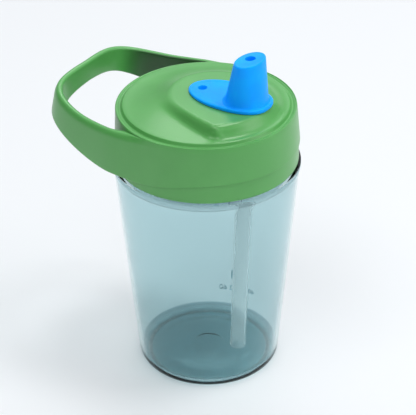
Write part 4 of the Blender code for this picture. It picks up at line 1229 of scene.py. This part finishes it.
plug_bottom = PLATE_BOTTOM - PLUG_DEPTH
plug = PLATE_LAP + PLUG_GAP
plate_rows = edge_rows(plug_bottom, plug, 0.0, (0, 4), (12, 3), (15, 1), (17, 0), (19, 1), (22, 3))
plate_rows += edge_rows(PLATE_BOTTOM, plug, 0.0, (0, 3)) + edge_rows(PLATE_BOTTOM, 0.0, 0.0, (0, 5), (1, 2))
plate_rows += edge_rows(PLATE_BOTTOM, 0.0, 0.2, (4, 0))
plate_rows += edge_rows(
    PLATE_TOP, 0.0, 1.0, (-5, 0), (-3, 1), (-1, 3), (0, 6), (0, 9), (-1, 13), (-2, 17))
plate_rows += edge_rows(DISH_TOP, 0.0, 1.0, (1, 22), (0, 30), (0, 44))
spout = lofted("spout", [egg(z, inset, PLATE_RISE * uphill) for z, inset, uphill in plate_rows])
well = [egg(plug_bottom - CUT_PAST, plug + PLUG_WALL), egg(under_deck, plug + PLUG_WALL)]
combine(spout, lofted("well", well), "DIFFERENCE")
print("plate and plug", len(spout.data.polygons), "faces")

# %% Drinking cone
foot_z = DISH_TOP + 0.6 * PLATE_RISE
cone = [ring(CONE_FOOT_X, PLATE_BOTTOM + 0.0003, CONE_FOOT_RADIUS + CONE_FILLET)]
for step in range(6):
    share = step / 6
    flare = CONE_FOOT_RADIUS + CONE_FILLET * (1.0 - share) ** FLARE_POWER
    cone.append(ring(CONE_FOOT_X, mix(foot_z, CONE_FOOT_Z + 0.0008, share), flare))
cone += [cone_loop(share, 0.0) for share in (0.05, 0.15, 0.3, 0.45, 0.6, 0.75, 0.88)]
for step in range(1, 9):
    bend = math.radians(90.0 * step / 8)
    cone.append(cone_loop(1.0, CONE_ROUND * (1.0 - math.cos(bend)), CONE_ROUND * (1.0 - math.sin(bend))))
cone += [cone_loop(1.0, CONE_ROUND * 1.5, 0.00005), cone_loop(1.0, CONE_ROUND * 2.4, 0.00015)]
combine(spout, lofted("cone", cone), "UNION")
sleeve = leaning(turn("sleeve", rounded([
    (0.0, 0.0005, 0.0), (SLEEVE_RADIUS, 0.0005, 0.0), (SLEEVE_RADIUS, -SOCKET_DEPTH, 0.0008),
    (0.0, -SOCKET_DEPTH, 0.0)], 4), 72, spout_finish))
combine(spout, sleeve, "UNION")
vent_bottom = plug_bottom + 0.0006
vent_tube = [oval(VENT_X, vent_bottom, 0.0014, VENT_TUBE)]
vent_tube += [ring(VENT_X, height, VENT_TUBE) for height in (vent_bottom + 0.0012, under_deck + 0.0005)]
combine(spout, lofted("vent_tube", vent_tube), "UNION")
print("with cone, sleeve and tube", len(spout.data.polygons), "faces")

# %% Channels through the spout
socket = leaning(turn("socket", [
    (0.0, -SOCKET_DEPTH - 0.002), (SOCKET_RADIUS, -SOCKET_DEPTH - 0.002), (SOCKET_RADIUS, 0.0),
    (0.0, 0.0)], 72, spout_finish))
combine(spout, socket, "DIFFERENCE")
channel = [ring(CONE_FOOT_X, SOCKET_TOP - 0.001, STRAW_BORE), ring(CONE_FOOT_X, DISH_TOP, STRAW_BORE)]
channel += [cone_loop(share, SPOUT_WALL) for share in (0.15, 0.4, 0.65, 0.88)]
combine(spout, lofted("channel", channel), "DIFFERENCE")
mouth = []
for rise, wider in ((-0.005, 0.0), (0.0003, 0.0), (0.0005, 0.0001), (0.003, 0.0006)):
    loop = ring(MOUTH_X, CONE_TOP_Z + rise - CONE_ROUND, MOUTH_RADIUS + wider, CONE_SLANT)
    mouth.append([(x, y + MOUTH_Y, z) for x, y, z in loop])
combine(spout, lofted("mouth", mouth), "DIFFERENCE")
vent = [oval(VENT_X, vent_bottom - 0.001, VENT_RADIUS * 0.4, VENT_RADIUS),
        ring(VENT_X, vent_bottom + 0.0012, VENT_RADIUS)]
for rise, wider in ((-0.0004, 0.0), (-0.0001, 0.0001), (0.0002, 0.0003), (0.002, 0.0016)):
    vent.append(ring(VENT_X, DISH_TOP + rise, VENT_RADIUS + wider))
combine(spout, lofted("vent", vent), "DIFFERENCE")
complete(spout, spout_finish, "spout", "spout_silicone", "spout")

# %% [markdown]
# The straw is the same turned body, moved onto an axis that leans a little, so that its open foot
# ends nearer the cup's axis than its top. The seal is a flat ring with round edges on the rim.

# %% Straw and seal
SEAL_WIDTH = 0.0030
SEAL_ROUND = 0.0005
STRAW_STEPS, SEAL_STEPS = 96, 128

straw_length = (SOCKET_TOP - STRAW_FOOT) / math.cos(STRAW_LEAN)
straw_wall = rounded([
    (STRAW_BORE, -straw_length, 0.0003), (STRAW_RADIUS, -straw_length, 0.0003),
    (STRAW_RADIUS, -0.0003, 0.0002), (STRAW_BORE, -0.0003, 0.0002)], 4, closed=True)
straw = leaning(turn("straw", straw_wall + straw_wall[:1], STRAW_STEPS, straw_finish))
complete(straw, straw_finish, "spout", "clear_straw", "straw")
seal_inner, seal_outer = seal_high.x - SEAL_WIDTH, seal_high.x
seal_corners = (
    (seal_inner, seal_low.z), (seal_outer, seal_low.z), (seal_outer, seal_high.z), (seal_inner, seal_high.z))
seal_wall = rounded([(*corner, SEAL_ROUND) for corner in seal_corners], 4, closed=True)
seal = turn("seal", seal_wall + seal_wall[:1], SEAL_STEPS, seal_finish)
complete(seal, seal_finish, "seal", "seal_silicone", "lid_seal")
